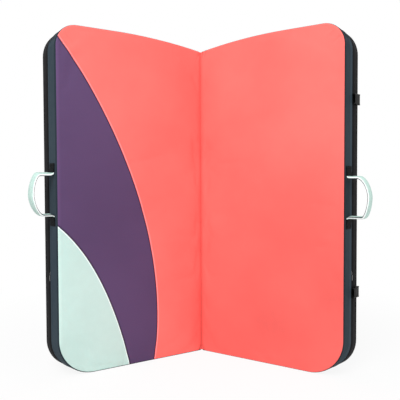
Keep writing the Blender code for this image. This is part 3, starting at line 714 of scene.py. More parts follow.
def seam_line(shares, offset, count=48):
    """(x, z) along a sewn seam of the opened pad's left half, moved towards the fold by the offset."""
    knots = [Vector((-a * HALF_WIDTH, b * HEIGHT, 0)) for a, b in shares]
    points = interpolate_bezier(*knots, count)
    moved = []
    for i, point in enumerate(points):
        along = (points[min(i + 1, count - 1)] - points[max(i - 1, 0)]).normalized()
        moved.append((point.x - along.y * offset, point.y + along.x * offset))
    return moved


def seam_distance(points, shares):
    """Distance of each (x, z) from a seam, positive towards the fold, and how far along it is."""
    line = np.array(seam_line(shares, 0))
    start, step = line[:-1], np.diff(line, axis=0)
    out = points[:, None, :] - start
    share = np.clip((out * step).sum(-1) / (step ** 2).sum(-1), 0, 1)
    size = np.linalg.norm(out - share[..., None] * step, axis=-1)
    best = size.argmin(1)
    rows = np.arange(len(points))
    turn = step[best, 0] * out[rows, best, 1] - step[best, 1] * out[rows, best, 0]
    return np.copysign(size[rows, best], turn), (best + share[rows, best]) / len(step)


def nearest_seam(points):
    """How far each (x, z) lies from the nearer seam."""
    return np.minimum(*(np.abs(seam_distance(points, seam)[0]) for seam in (CORAL_SEAM, MINT_SEAM)))


def flat_points(bm):
    return np.array([(v.co.x, v.co.z) for v in bm.verts])


# Folds of the cloth, each from (x, z) to (x, z) on the opened pad, with its width and height
FOLDS = (
    ((0.017, 0.997), (0.003, 0.962), 0.0028, -0.0020),
    ((0.0035, 0.997), (0.0025, 0.970), 0.0022, -0.0016),
    ((0.010, 0.997), (0.006, 0.975), 0.0034, 0.0008),
    ((-0.003, 0.990), (-0.014, 0.965), 0.003, -0.0010),
    ((0.0050, 0.004), (0.0012, 0.022), 0.0022, -0.0030),
    ((-0.0042, 0.002), (-0.0010, 0.020), 0.0022, -0.0034),
    ((0.001, 0.640), (0.022, 0.634), 0.003, -0.0006),
    ((-0.001, 0.420), (-0.024, 0.428), 0.003, -0.0006),
    ((0.452, 0.976), (0.428, 0.956), 0.0035, 0.0009),
    ((0.470, 0.955), (0.440, 0.938), 0.003, -0.0009),
    ((-0.268, 0.006), (-0.258, 0.034), 0.003, 0.0010),
    ((-0.286, 0.006), (-0.280, 0.026), 0.003, -0.0009),
    ((-0.302, 0.006), (-0.300, 0.020), 0.003, 0.0007),
    ((-0.455, 0.972), (-0.432, 0.950), 0.0035, 0.0008),
)


def fold_share(x, z, start, end):
    """How far along a fold a point lies, from 0 to 1, and its distance from the fold."""
    dx, dz = end[0] - start[0], end[1] - start[1]
    share = np.clip(((x - start[0]) * dx + (z - start[1]) * dz) / (dx * dx + dz * dz), 0, 1)
    return share, np.hypot(x - start[0] - share * dx, z - start[1] - share * dz)


def fold_marks(x, z):
    """How high the folds stand at a point, and how much painted shade lies in them there."""
    height = dark = 0.0
    for start, end, width, tall in FOLDS:
        share, off = fold_share(x, z, start, end)
        height += tall * (1 - share) * math.exp(-((off / width) ** 2))
        # Painted shade, narrower than the fold itself.
        dark += 100 * abs(tall) * (1 - share) * math.exp(-((off / (0.4 * width)) ** 2))
    return height, dark


def crown(x, z):
    """The landing face's crown: it climbs from each edge, with no ridge where two edges' slopes meet."""
    inset = LANDING.unroll(abs(x), z)[1]
    reach, far = 0.015, 0.4
    edges = (inset, abs(x), HALF_WIDTH - abs(x), z, HEIGHT - z)
    nearest = -reach * math.log(sum(math.exp(-max(e, 0) / reach) for e in edges if e < far))
    return CROWN * rise(nearest / CROWN_REACH)


def landing_rise(x, z):
    """How far the landing face stands proud of its rim: the crown with slow hollows."""
    inset = LANDING.unroll(abs(x), z)[1] - EDGE_ROLL
    slow = noise.noise(Vector((x * 3.1, z * 3.1, 4.2))) * 0.0008
    middle = noise.noise(Vector((x * 9.0, z * 8.0, 1.7))) * 0.0004
    calm = min(1.0, inset / 0.03) * min(1.0, abs(x) / 0.02)
    return crown(x, z) + (slow + middle) * max(calm, 0.0)


def between(height, low, high, ease=0.0004):
    """Keeps a height between two others, without a crease where it meets them."""
    height = low + (height - low + math.hypot(height - low, ease)) / 2
    return high - (high - height + math.hypot(high - height, ease)) / 2


def opened_sheet():
    """The landing cover laid open: x across both halves with the fold at 0, y into the pad, z up."""
    bm = bmesh.new()
    columns, rows = ((160, 140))
    bmesh.ops.create_grid(bm, x_segments=columns, y_segments=rows, size=1)
    for v in bm.verts:
        share = abs(v.co.x)
        x = share * (0.6 + 0.4 * share) * (HALF_WIDTH - EDGE_ROLL)
        z = EDGE_ROLL + (v.co.y + 1) / 2 * (HEIGHT - 2 * EDGE_ROLL)
        x, z = LANDING.round_corners(x, z)
        x = math.copysign(x, v.co.x)
        v.co = (x, -landing_rise(x, z), z)
    return bm


def at_crease(x):
    """1 at the crease of the fold, falling to 0 a little way out."""
    return max(0.0, 1 - abs(x) / 0.0045)


def near_lines(bm, reach):
    """The edges near the seams, the crease and the folds."""
    points = flat_points(bm)
    near = (nearest_seam(points) < reach) | (np.abs(points[:, 0]) < reach * 0.6)
    for start, end, width, height in FOLDS:
        near |= fold_share(points[:, 0], points[:, 1], start, end)[1] < reach * 0.7
    bm.verts.index_update()
    return [e for e in bm.edges if near[e.verts[0].index] and near[e.verts[1].index]]


def seam_relief(bm):
    """A raised turned edge on the lighter side of each seam, a drop at the stitch, and small puckers."""
    points = flat_points(bm)
    total = np.zeros(len(points))
    # Each ridge or drop is (height, middle, width) across the seam.
    shapes = ((0.0008, 0.0026, 0.0015), (-0.0011, 0.0, 0.0011), (-0.0004, -0.002, 0.002))
    for shares, light in ((CORAL_SEAM, 1), (MINT_SEAM, -1)):
        gap, along = seam_distance(points, shares)
        gap = gap * light
        for height, middle, width in shapes:
            total += height * np.exp(-(((gap - middle) / width) ** 2))
        pucker = np.array([noise.noise(Vector((a * 120, light, 0.5))) for a in along])
        total += 0.00035 * pucker * np.exp(-((gap / 0.008) ** 2))
    for v, up in zip(bm.verts, total):
        x, z = v.co.x, v.co.z
        height = between(-v.co.y, crown(x, z) - 0.0006, 0.0038)
        v.co.y = max(-height - up - fold_marks(x, z)[0] + 0.0016 * at_crease(x), -0.0039)


def rolled(angle, radius):
    """(inset, depth) on a rounded edge, from the face at 0 to the side at a quarter turn."""
    return radius * (1 - math.sin(angle)), radius * (1 - math.cos(angle))


def rim_turn(x, up):
    """How far round the pad's edge the landing cover reaches before its seam with the side wall.

    It reaches least down the left half's outer side; up is the height of the way out there.
    """
    return math.radians(LEFT_RIM + (RIGHT_RIM - LEFT_RIM) * max(eased((x + 0.05) / 0.1), eased(up)))


def roll_the_rim(bm):
    """Rolls the sheet's edge part of the way round the pad's edge and tucks it under the side wall."""
    edges = [e for e in bm.edges if e.is_boundary]
    last = {v: (EDGE_ROLL, 0.0) for e in edges for v in e.verts}
    for step in (0.25, 0.5, 0.75, 1.0, None):
        edges, sources = grow(bm, edges)
        fresh = {}
        for v, source in sources.items():
            inset, depth = last[source]
            out = LANDING.outward(abs(v.co.x), v.co.z)
            target = (inset - 0.0001, depth + 0.0005)
            if step:
                target = rolled(rim_turn(v.co.x, out.y) * step, EDGE_ROLL)
            v.co.x += math.copysign(out.x, v.co.x) * (inset - target[0])
            v.co.z += out.y * (inset - target[0])
            v.co.y += target[1] - depth
            fresh[v] = target
        last = fresh


def fold_sheet(bm):
    """Hangs the top corners at the fold, then folds the opened sheet to the angle it stands at."""
    hang(bm.verts)
    for v in bm.verts:
        x, y, z = v.co
        if abs(x) < 1e-5:
            v.co = (0, FOLD.y + (y + AXIS_PROUD) / math.cos(TURN), z)
            continue
        half = RIGHT if x > 0 else LEFT
        v.co = half.at(abs(x) - AXIS_PROUD * math.tan(TURN) * at_crease(x), y, z)


def landing_painted_light(x, z, name):
    """Painted light and shade: painted shade in the folds, along the crease and low on the right; painted
    light low on the left and high on the right; and a painted highlight along the rounded outer edge of the
    purple and mint panels.
    """
    # Painted shade in the folds.
    dark = fold_marks(x, z)[1]
    if name == "landing_cover":
        # Painted shade along the crease of the fold.
        dark += (0.13 + 0.07 * (1 - z)) * math.exp(-((x / 0.0022) ** 2))
        if x < 0:
            # Painted light, lower down on the left half.
            return 0.17 * (1 - z) * eased(-x / 0.05) - dark
        # Painted shade low on the right half, and a band of painted light higher up.
        low = eased(z / 0.2 + 0.3) * eased((0.62 - z) / 0.35) * eased(x / 0.25)
        high = eased((z - 0.5) / 0.2) * eased((0.95 - z) / 0.15) * eased(x / 0.1)
        return 0.05 * high - 0.13 * low - dark
    # A painted highlight along the panel's rounded outer edge.
    low, high, most = (0.006, 0.012, 0.28) if name == "purple_panel" else (0.0042, 0.0062, 0.2)
    return most * eased((high - HALF_WIDTH - x) / (high - low)) - dark


def cut_out(sheet, outline):
    """The part of a sheet inside an outline of (x, z) points, as a mesh."""
    bm = bmesh.new()
    reach = 0.03
    prism(bm, [(x, -reach, z) for x, z in outline], (0, 2 * reach, 0))
    bmesh.ops.recalc_face_normals(bm, faces=bm.faces)
    cutter = to_object("cutting_region", bm, None)
    cut = sheet.modifiers.new("cut", "BOOLEAN")
    cut.operation = "INTERSECT"
    cut.solver = "EXACT"
    cut.object = cutter
    mesh = evaluated_mesh(sheet)
    sheet.modifiers.remove(cut)
    drop(cutter)
    return mesh


def landing_cover():
    """The whole landing cover: simulated as one opened sheet, cut along its seams, then folded."""
    sheet = to_object("opened_sheet", opened_sheet(), CORAL)
    pins = [v.index for v in sheet.data.vertices if abs(v.co.x) < 0.004]
    rim = bmesh.new()
    rim.from_mesh(sheet.data)
    pins += [v.index for v in rim.verts if v.is_boundary]
    rim.free()
    simulate(sheet, pins, pressure=0.4, cap=0.002, shrink=-0.004)
    bm = bmesh.new()
    bm.from_mesh(sheet.data)
    for reach in (0.011, 0.007, 0.0045)[: 3]:
        bmesh.ops.subdivide_edges(bm, edges=near_lines(bm, reach), cuts=1, use_grid_fill=True)
    seam_relief(bm)
    roll_the_rim(bm)
    bm.to_mesh(sheet.data)
    bm.free()
    thicken(sheet).use_even_offset = True
    (coral_low, coral_high), (mint_low, mint_high) = (
        [seam_line(seam, offset) for offset in (-GAP, GAP)] for seam in (CORAL_SEAM, MINT_SEAM))
    far, shared = 0.6, MINT_SEAM[0][1]
    across = ("left_half", "right_half", (-0.006, FOLD.y, 0.5), (0.006, FOLD.y, 0.5))
    regions = (
        ("landing_cover", CORAL, coral_high + [(far, -0.05), (far, 1.05)], across,
         ("left_landing_coral", "right_landing_coral", "hinge_fabric")),
        ("purple_panel", PURPLE, coral_low + mint_high[::-1] + [(-far, shared), (-far, 1.01)], None,
         ("left_landing_purple",)),
        ("mint_panel", MINT, mint_low + [(-far, -0.01), (-far, shared)], None, ("left_landing_mint",)),
    )
    for name, finish, outline, bends, stands_for in regions:
        bm = bmesh.new()
        bm.from_mesh(cut_out(sheet, outline))
        stamp(bm)
        seam = bm.verts.layers.float.new("seam")
        # The painted light and shade of each panel, kept on its vertices.
        painted_light = bm.verts.layers.float.new("painted_light")
        for v, gap in zip(bm.verts, nearest_seam(flat_points(bm))):
            v[seam] = gap
            v[painted_light] = landing_painted_light(v.co.x, v.co.z, name)
        fold_sheet(bm)
        dress(to_object(name, bm, finish, 55), finish, LEFT.body, stands_for, soft=0.95, bends=bends)
    drop(sheet)


# The sides and the base


def side_band(half):
    """The slate wall: turned under along its seam with the landing cover, with a hem along the zip.

    Its marks are where its turn starts, its painted shade beside the seam, its painted light in the middle
    (lighter on the left half than on the right), and where the ridge of its hem starts, with the painted
    highlight on that ridge. The wall also has painted shade at the zip groove and where it faces up.
    """
    first, shade, mid, ridge_start, ridge = (LEFT_RIM, -0.2, 0.22, 0.0487, 0.5)
    if half is RIGHT:
        first, shade, mid, ridge_start, ridge = (RIGHT_RIM, -0.5, -0.03, 0.0405, 0.42)
    roll = [rolled(math.radians(first + 4 + (86 - first) * k / 5), EDGE_ROLL) for k in range(6)]
    outside = [(roll[0][0] + 0.0004, roll[0][1] + 0.0010)] + roll + [
        (0, 0.0083), (-0.0001, 0.014), (-0.0002, 0.022), (-0.0002, 0.031), (-0.0001, 0.0405),
        (-0.0001, 0.043), (0, 0.0487), (-0.0006, 0.0505), (-0.0009, 0.0524), (-0.0007, 0.0546),
        (0.0006, 0.0562), (0.003, GROOVE_START),
    ]
    inside = [(0.0045, 0.0564), (COVER, 0.0545), (COVER, 0.031), (COVER, 0.0083), (0.0021, 0.0045),
              (0.0034, 0.0026)]
    bm = round_the_half(outside + inside, ripple=0.00018, seed=half.sign)
    painted_light = bm.verts.layers.float.new("painted_light")
    # Painted light across the wall's depth: painted shade beside the seam, a middle lighter or darker by
    # half, a painted highlight on the hem's ridge, and painted shade at the zip groove.
    places = (0.0050, 0.0085, ridge_start, ridge_start + 0.0025, 0.0553, 0.0562)
    for v in bm.verts:
        up = LANDING.outward(v.co.x, v.co.z).y
        # Painted shade where the wall faces up, growing deeper into the wall.
        dark = 0.8 * eased((up - 0.15) / 0.4) * eased((v.co.y - 0.002) / 0.018)
        v[painted_light] = np.interp(v.co.y, places, (shade, mid, mid, ridge, ridge, -0.4)) - dark
        if half is LEFT and v.co.y < roll[1][1] + 0.0001:
            v.co.z -= 0.0014 * eased(up)
    place(f"{half.name}_side_wall", bm, SLATE, half, stands_for=[f"{half.name}_side_band"], soft=0.95)


def station_matrix(station, inset, depth):
    """A frame on the outline: x along it, y into the thickness, z outwards."""
    x, z, out = station
    deep = Vector((0, 1, 0))
    matrix = Matrix((deep.cross(out), deep, out)).transposed().to_4x4()
    matrix.translation = Vector((x, depth, z)) - out * inset
    return matrix


def hem_stitches(half):
    """The row of stitches along the side wall's hem."""
    depth, pitch = 0.0497, 0.0042
    bm = bmesh.new()
    for station in outline_at(depth).stations(pitch, start=0.004):
        stitch(bm, station_matrix(station, -0.0002, depth), (pitch * 0.66, 0.0006, 0.0006), (0, 1, 2))
    hang(bm.verts)
    place(f"{half.name}_hem_stitches", bm, THREAD, half, slot="slate_cloth")


def zip_tapes(half):
    """The zip between wall and base: two woven tapes and the coil between them."""
    front, back = 0.0575, 0.0629
    near, far = 0.0039, 0.0047
    profile = [(near, front), (near, back), (far, back), (far, front)]
    bm = round_the_half(profile, straight=30, start=0.005)
    for station in outline_at(ZIP_DEPTH).stations(0.0026, start=0.006):
        matrix = station_matrix(station, 0.0036, ZIP_DEPTH) @ Matrix.Diagonal((0.0015, 0.0034, 0.0006, 1))
        made = bmesh.ops.create_cube(bm, size=1, matrix=matrix)
        stamp(bm, made["verts"], (0, 1, 2))
        hang(made["verts"])
    place(f"{half.name}_zip_tapes", bm, BLACK_WEB, half, stands_for=[f"{half.name}_zip_track"], sharp=30)


def piping(half):
    """The cord in its sleeve of cloth, round the edge of the base."""
    inset, depth, radius = 0.00203, 0.09797, 0.002
    turns = [2 * math.pi * k / 12 for k in range(12)]
    profile = [(inset + radius * math.cos(a), depth + radius * math.sin(a)) for a in turns]
    bm = round_the_half(profile, ripple=0.0001, seed=3 + half.sign)
    place(f"{half.name}_piping", bm, PIPING, half, stands_for=[f"{half.name}_base_piping"])


def base_cover(half):
    """The black tray: the base, which sags a little between its edges, rolled into its walls."""
    bm = bmesh.new()
    columns, rows = ((64, 120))
    bmesh.ops.create_grid(bm, x_segments=columns, y_segments=rows, size=1)
    bmesh.ops.reverse_faces(bm, faces=bm.faces)
    low = HALF_GAP + BASE_ROLL
    for v in bm.verts:
        x = low + (v.co.x + 1) / 2 * (HALF_WIDTH - BASE_ROLL - low)
        z = BASE_ROLL + (v.co.y + 1) / 2 * (HEIGHT - 2 * BASE_ROLL)
        x, z = BASE.round_corners(x, z)
        inset = min(BASE.unroll(x, z)[1], x) - BASE_ROLL
        dent = (noise.noise(Vector((x * 5, z * 5, 9 + half.sign))) + 0.6) * 0.0004 * rise(inset / 0.06)
        v.co = (x, THICKNESS - max(dent, 0), z)
    edges = [e for e in bm.edges if e.is_boundary]
    groove = THICKNESS - GROOVE_END
    stops = [rolled(math.pi / 2 * k / 6, BASE_ROLL) for k in range(1, 7)]
    stops += [(0, 0.0225), (0, groove - 0.006), (0.0016, groove - 0.003), (GROOVE_DEPTH, groove)]
    last_inset, last_depth = BASE_ROLL, 0.0
    close = 1e-4
    for inset, depth in stops:
        edges, sources = grow(bm, edges)
        for v in sources:
            x, z = v.co.x, v.co.z
            out = BASE.outward(x, z)
            if x < HALF_GAP + last_inset + 1.1 * close:
                end = z < BASE_ROLL + close or z > HEIGHT - BASE_ROLL - close
                out = Vector((-1, math.copysign(1, z - 0.5) if end else 0))
            v.co.x += out.x * (last_inset - inset)
            v.co.z += out.y * (last_inset - inset)
            v.co.y -= depth - last_depth
        last_inset, last_depth = inset, depth
    stamp(bm)
    settle(bm, BASE)
    hang(bm.verts)
    obj = place(f"{half.name}_base_tray", bm, BLACK, half, stands_for=[f"{half.name}_base_cover"],
                soft=0.9, sharp=60)
    thicken(obj)


def spine(half):
    """The wall on the fold's side, drawn in a little between its seams."""
    bm = bmesh.new()
    bmesh.ops.create_grid(bm, x_segments=14, y_segments=60, size=1)
    front, back = 0.0083, 0.0648
    bottom, top = COVER + 0.0004, HEIGHT - DROOP - COVER - 0.0004
    for v in bm.verts:
        a, b = v.co.x, v.co.y
        depth = front + (a + 1) / 2 * (back - front)
        z = bottom + (b + 1) / 2 * (top - bottom)
        drawn = 0.0005 * (1 - a ** 4) * (1 - b ** 20)
        uneven = 0.7 + 0.6 * noise.noise(Vector((depth * 30, z * 12, half.sign)))
        v.co = (HALF_GAP + drawn * uneven, depth, z)
    add_wall(bm, 0.0014)
    stamp(bm, order=(1, 2, 0))
    place(f"{half.name}_spine_wall", bm, BLACK, half, stands_for=[f"{half.name}_spine_panel"])


# Webbing and patches


def handle(half, height, loop):
    """The carry handle: one loop of doubled webbing, sewn down under two patches.

    The loop gives its half height, how far its upper and its lower leg run straight as shares of
    the reach, and how far its bow and each leg turn, in degrees.
    """
    half_height, upper, lower, twist, upper_turn, lower_turn = loop
    power = 1.7
    seat = HALF_WIDTH + GAP + HANDLE_WALL / 2
    low_seat = seat - HANDLE_WALL / 4
    # Each point of the path is (x, z, turn, thickness).
    foot = [
        (low_seat, 0.0693, 0, 0.5), (low_seat, 0.0640, 0, 0.5),
        (low_seat + 0.0003, half_height + 0.0030, 0, 0.7), (seat + 0.0016, half_height + 0.0006, -4, 1.1),
    ]
    leg = [HANDLE_REACH * k / 8 for k in range(1, 8)]
    bow = [(HALF_WIDTH + lower * out, -half_height, lower_turn, 1.5) for out in leg]
    steps = 64
    for k in range(steps + 1):
        angle = -math.pi / 2 + math.pi * k / steps
        lean = math.sin(angle)
        straight, leg_turn = (upper, upper_turn) if lean > 0 else (lower, lower_turn)
        out = HANDLE_REACH * (straight + (1 - straight) * (1 - abs(lean) ** power) ** (1 / power))
        turned = twist * math.cos(angle) ** 2 + leg_turn * abs(lean) ** 6
        bow.append((HALF_WIDTH + out, half_height * lean, turned, 1.25 + 0.25 * abs(lean) ** 6))
    bow += [(HALF_WIDTH + upper * out, half_height, upper_turn, 1.5) for out in leg[::-1]]
    path = [(x, -z, -turn, thick) for x, z, turn, thick in foot]
    path += [p for p in bow if p[0] > seat + 0.0030] + foot[::-1]
    points = [Vector((x, HANDLE_DEPTH, height + z)) for x, z, turn, thick in path]
    frames = frames_along(points, across=Vector((0, 1, 0)))
    frames = [m @ Matrix.Rotation(math.radians(p[2]), 4, "Z") for m, p in zip(frames, path)]

    def section(share):
        return strap_section(HANDLE_WIDTH, HANDLE_WALL * path[round(share * (len(path) - 1))][3])

    bm = sweep(frames, section)
    start, end = (half.at(HALF_WIDTH + x, HANDLE_DEPTH, height) for x in (0.002, 0.03))
    place(f"{half.name}_handle_webbing", bm, MINT_WEB, half,
          bends=(half.body, f"{half.name}_handle", start, end),
          stands_for=[f"{half.name}_handle_{part}" for part in ("grip", "upper_root", "lower_root")])
    for name, side in (("upper", 1), ("lower", -1)):
        handle_patch(half, f"{half.name}_handle_{name}", height, side, half_height + 0.0052)


def handle_patch(half, name, height, side, start):
    """A stitched patch, raised where the end of the webbing lies under it."""
    bm = bmesh.new()
    bmesh.ops.create_grid(bm, x_segments=24, y_segments=18, size=1)
    near = height + side * start
    wide, tall, wall = 0.0195, 0.0885 - start, 0.0016
    for v in bm.verts:
        a, b = v.co.x, v.co.y
        away = (b + 1) / 2 * tall
        lift = wall + 0.0020 * eased(1.3 - away / 0.014) * eased((1 - abs(a) * 1.04) * 7)
        lift -= 0.0006 * max(abs(a), abs(b)) ** 10
        v.co = (HALF_WIDTH + GAP + lift, HANDLE_DEPTH + a * wide, near + side * away)
    add_wall(bm, 0.0009)
    stamp(bm, order=(1, 2, 0))
    place(f"{name}_sewn_patch", bm, PATCH_WEB, half, stands_for=[f"{name}_patch"])
    bm = bmesh.new()
    edge = 0.003
    x = HALF_WIDTH + GAP + 0.0018
    low, high = near + side * edge, near + side * (tall - edge)
    front, back = HANDLE_DEPTH - wide + edge, HANDLE_DEPTH + wide - edge
    corners = [(x + 0.0010, front, low), (x, front, high), (x, back, high), (x + 0.0010, back, low)]
    stitches(bm, corners, 0.0032, Vector((1, 0, 0)))
    place(f"{name}_stitches", bm, THREAD, half)


def rounded(width, height, corner, steps):
    """(a, b) round a rectangle with rounded corners, in steps round each corner."""
    points = []
    for quarter, (i, j) in enumerate(((1, 1), (-1, 1), (-1, -1), (1, -1))):
        for k in range(steps + 1):
            turn = (quarter + k / steps) * math.pi / 2
            points.append((i * (width / 2 - corner) + corner * math.cos(turn),
                           j * (height / 2 - corner) + corner * math.sin(turn)))
    return points


def plate_patch(half, name, size, centre, wall, corner, finish, stands_for, rows=1):
    """A sewn patch that lies on the base, with rounded corners, a turned edge and its stitches."""
    seat = THICKNESS + GAP
    bm = bmesh.new()
    corners = [(centre[0] + a, seat, centre[1] + b) for a, b in rounded(*size, corner, 6)]
    top = prism(bm, corners, (0, wall * 0.8, 0))
    for inset, lift in ((0.0012, 0.2), (0.0016, -0.12), (0.0012, 0.06)):
        bmesh.ops.inset_individual(bm, faces=[top], thickness=inset, depth=0)
        for v in top.verts:
            v.co.y += wall * lift
    bmesh.ops.recalc_face_normals(bm, faces=bm.faces)
    stamp(bm)
    place(name, bm, finish, half, stands_for=stands_for, sharp=30)
    bm = bmesh.new()
    for row in range(rows):
        off = 0.0024 + row * 0.005
        line = rounded(size[0] - 2 * off, size[1] - 2 * off, max(corner - off, 0.0006), 2)
        points = [(centre[0] + a, seat + wall * 0.95, centre[1] + b) for a, b in line]
        stitches(bm, points, 0.0034, Vector((0, 1, 0)))
    place(f"{name}_stitches", bm, THREAD, half)


def eye_points(bar, heading, turn_sign):
    """(a, b) round a bar, from the eye's end to where the webbing leaves along the heading."""
    radius, steps = 0.0025, 18
    leave = heading - turn_sign * math.pi / 2
    first = leave - turn_sign * math.radians(265)
    angles = [first + (leave - first) * k / steps for k in range(steps + 1)]
    return [(bar[0] + radius * math.cos(a), bar[1] + radius * math.sin(a)) for a in angles]


def socket_tab(half, name, height):
    """The webbing that holds a socket: sewn to the base, round the piping and through its bar."""
    path = eye_points((HALF_WIDTH + GAP + 0.0055, 0.0915), math.radians(142), 1)
    centre = (HALF_WIDTH - BASE_ROLL, THICKNESS - BASE_ROLL)
    radius = 0.0181
    for k in range(9):
        a = math.radians(40 + 5 * k)
        path.append((centre[0] + radius * math.cos(a), centre[1] + radius * math.sin(a)))
    seat = 0.101
    path += [(0.4655, seat + 0.0016), (0.460, seat + 0.0002)]
    path += [(x, seat) for x in (0.452, 0.445, 0.4375, 0.430)]
    bm = strap([Vector((a, b, height)) for a, b in path], Vector((0, 0, 1)))
    place(f"{name}_socket_webbing", bm, BLACK_WEB, half, stands_for=[f"{name}_socket_tab"])
    bm = bmesh.new()
    near, far, depth, half_box = 0.450, 0.4325, seat + 0.0008, 0.010
    low, high = height - half_box, height + half_box
    box = [(far, depth, low), (near, depth, low), (near, depth, high), (far, depth, high)]
    stitches(bm, box, 0.003, Vector((0, 1, 0)))
    for corner in (0, 1):
        stitches(bm, [box[corner], box[corner + 2]], 0.003, Vector((0, 1, 0)), closed=False)
    place(f"{name}_socket_webbing_stitches", bm, THREAD, half)


def plug_strap(half, name, height):
    """The closing strap: it lies on the base from its sewn patch, and holds the plug on its end."""
    near, run, seat = 0.288, 0.1553, 0.1013
    path = eye_points((0.266, BAR_DEPTH), 0, -1) + [(0.277, seat + 0.0009), (near, seat)]
    shares = [k / 24 for k in range(1, 25)]
    path += [(near + run * share, seat + 0.0004 * math.sin(share * math.pi)) for share in shares]
    bm = strap([Vector((a, b, height)) for a, b in path], Vector((0, 0, 1)))
    start, end = (half.at(x, 0.1019, height) for x in (0.4432, 0.437))
    place(f"{name}_plug_webbing", bm, BLACK_WEB, half, bends=(half.body, f"{name}_strap", start, end),
          stands_for=[f"{name}_plug_strap"])
    plate_patch(half, f"{name}_sewn_patch", (0.022, STRAP_WIDTH), (0.455, height), STRAP_WALL, 0.003,
                BLACK_WEB, [f"{name}_strap_patch"])


def lower_tape(half, name, x, bottom):
    """The adjusting tape: out of its patch, through the lock's lower slot and over the bar."""
    middle, slot, turn = 0.4237, 0.00325, 0.0007
    seat, over = 0.101, 0.1078
    low, high = middle - slot, middle + slot
    run = low - turn - bottom
    path = [(seat, bottom + run * k / 12) for k in range(13)]
    path += [(seat + turn, low), (over - turn, low), (over, low + turn), (over, high - turn),
             (over - turn, high), (seat + turn, high), (seat, high + turn)]
    bm = strap([Vector((x, a, b)) for a, b in path], Vector((1, 0, 0)))
    place(f"{name}_adjusting_tape", bm, BLACK_WEB, half, stands_for=[f"{name}_lower_tape"])


# Padded straps


def padded_strap(name, half, body, points, widths, thickness, stands_for, tuck):
    """A foam-filled strap: swollen by a cloth simulation, with piping sewn round its edge."""
    floor = THICKNESS + GAP
    path = [Vector((x, floor + thickness / 2, z)) for x, z in points]
    frames = frames_along(path, face=Vector((0, 1, 0)))
    steps = np.linspace(0, 1, len(widths))
    turns = [2 * math.pi * k / 28 for k in range(28)]

    def section(share):
        wide = np.interp(share, steps, widths) / 2 - 0.0018
        deep = thickness / 2 - 0.0012
        return [(wide * math.copysign(abs(math.cos(a)) ** 0.6, math.cos(a)),
                 deep * math.copysign(abs(math.sin(a)) ** 0.9, math.sin(a))) for a in turns]

    blank = to_object(f"{name}_blank", sweep(frames, section), HARNESS)
    remesh = blank.modifiers.new("remesh", "REMESH")
    remesh.mode = "VOXEL"
    remesh.voxel_size = 0.004
    pad = bpy.data.objects.new(f"{name}_pad", evaluated_mesh(blank))
    bpy.context.scene.collection.objects.link(pad)
    ends = path[0], path[-1]
    pins = [v.index for v in pad.data.vertices if min((v.co - end).length for end in ends) < tuck]
    simulate(pad, pins, pressure=4, cap=0.0012)
    bm = bmesh.new()
    bm.from_mesh(pad.data)
    drop(blank, pad)
    bmesh.ops.smooth_vert(bm, verts=bm.verts, factor=0.5, use_axis_x=True, use_axis_y=True, use_axis_z=True)
    for v in bm.verts:
        v.co.y = max(v.co.y, floor + 0.0001)
    stamp(bm)
    obj = place(name, bm, HARNESS, half, body=body, stands_for=stands_for, soft=0.9, sharp=180)
    smooth = obj.modifiers.new("smooth", "SUBSURF")
    smooth.levels = smooth.render_levels = 1
    radius = 0.0017
    ring = [(radius * math.cos(a), radius * math.sin(a)) for a in [math.pi / 5 * k for k in range(10)]]
    edge = bmesh.new()
    for side in (1, -1):
        run = []
        for i, matrix in enumerate(frames):
            wide = np.interp(i / (len(frames) - 1), steps, widths) / 2 - 0.0016
            run.append(matrix @ Vector((side * wide, 0, 0)))
        sweep(frames_along(run, face=Vector((0, 1, 0))), lambda share: ring, edge)
    place(f"{name}_piping", edge, PIPING, half, body=body)


def shoulder_strap(half, name, side):
    top, bottom = 0.6897, 0.4397
    bow = (top - bottom) * 0.3
    knots = [(0.056, top, 0), (0.058, top - bow, 0), (0.106, bottom + bow, 0), (0.078, bottom, 0)]
    points = interpolate_bezier(*[Vector(knot) for knot in knots], 40)
    widths = [0.062 * (1 - 0.5 * max(0, 1 - (1 - i / 39) / 0.25)) for i in range(40)]
    path = [(MIDDLE + side * p.x, p.y) for p in points]
    padded_strap(f"{name}_carrying_strap", half, half.body, path, widths, 0.012,
                 [f"{name}_shoulder_strap"], 0.012)


def belt_wing(half, name, side):
    """A padded wing of the waist belt, and the webbing on its tip that holds half of the buckle."""
    root = MIDDLE + side * 0.05
    wide, narrow = 0.070, 0.026
    shares = [k / 24 for k in range(25)]
    path = [(root + side * 0.09 * share, BELT_HEIGHT) for share in shares]
    widths = [narrow + (wide - narrow) * max(math.cos(s * math.pi / 2), 0) ** 0.7 for s in shares]
    body = f"{name}_belt_wing"
    padded_strap(f"belt_{name}_pad", half, body, path, widths, 0.009, [f"belt_{name}_wing"], 0.008)
    run = eye_points((root + side * 0.11, BAR_DEPTH), math.pi if side > 0 else 0, side)
    start, end = run[-1], (root + side * 0.0885, 0.1048)
    steps = [k / 8 for k in range(1, 9)]
    run += [(start[0] + (end[0] - start[0]) * k, start[1] + (end[1] - start[1]) * k) for k in steps]
    bm = strap([Vector((a, b, BELT_HEIGHT)) for a, b in run], Vector((0, 0, 1)))
    place(f"belt_{name}_webbing", bm, BLACK_WEB, half, body=body)


# The room, the light and the camera


def seen_directly(tree):
    """1 for rays that show the background itself, 0 for rays that carry its light."""
    path = build_node(tree, "LightPath").socket.node
    camera_ray, glossy, through = (
        Shade(path.outputs[f"Is {kind} Ray"]) for kind in ("Camera", "Glossy", "Transmission"))
    return camera_ray.math("MAXIMUM", glossy).math("MAXIMUM", through)


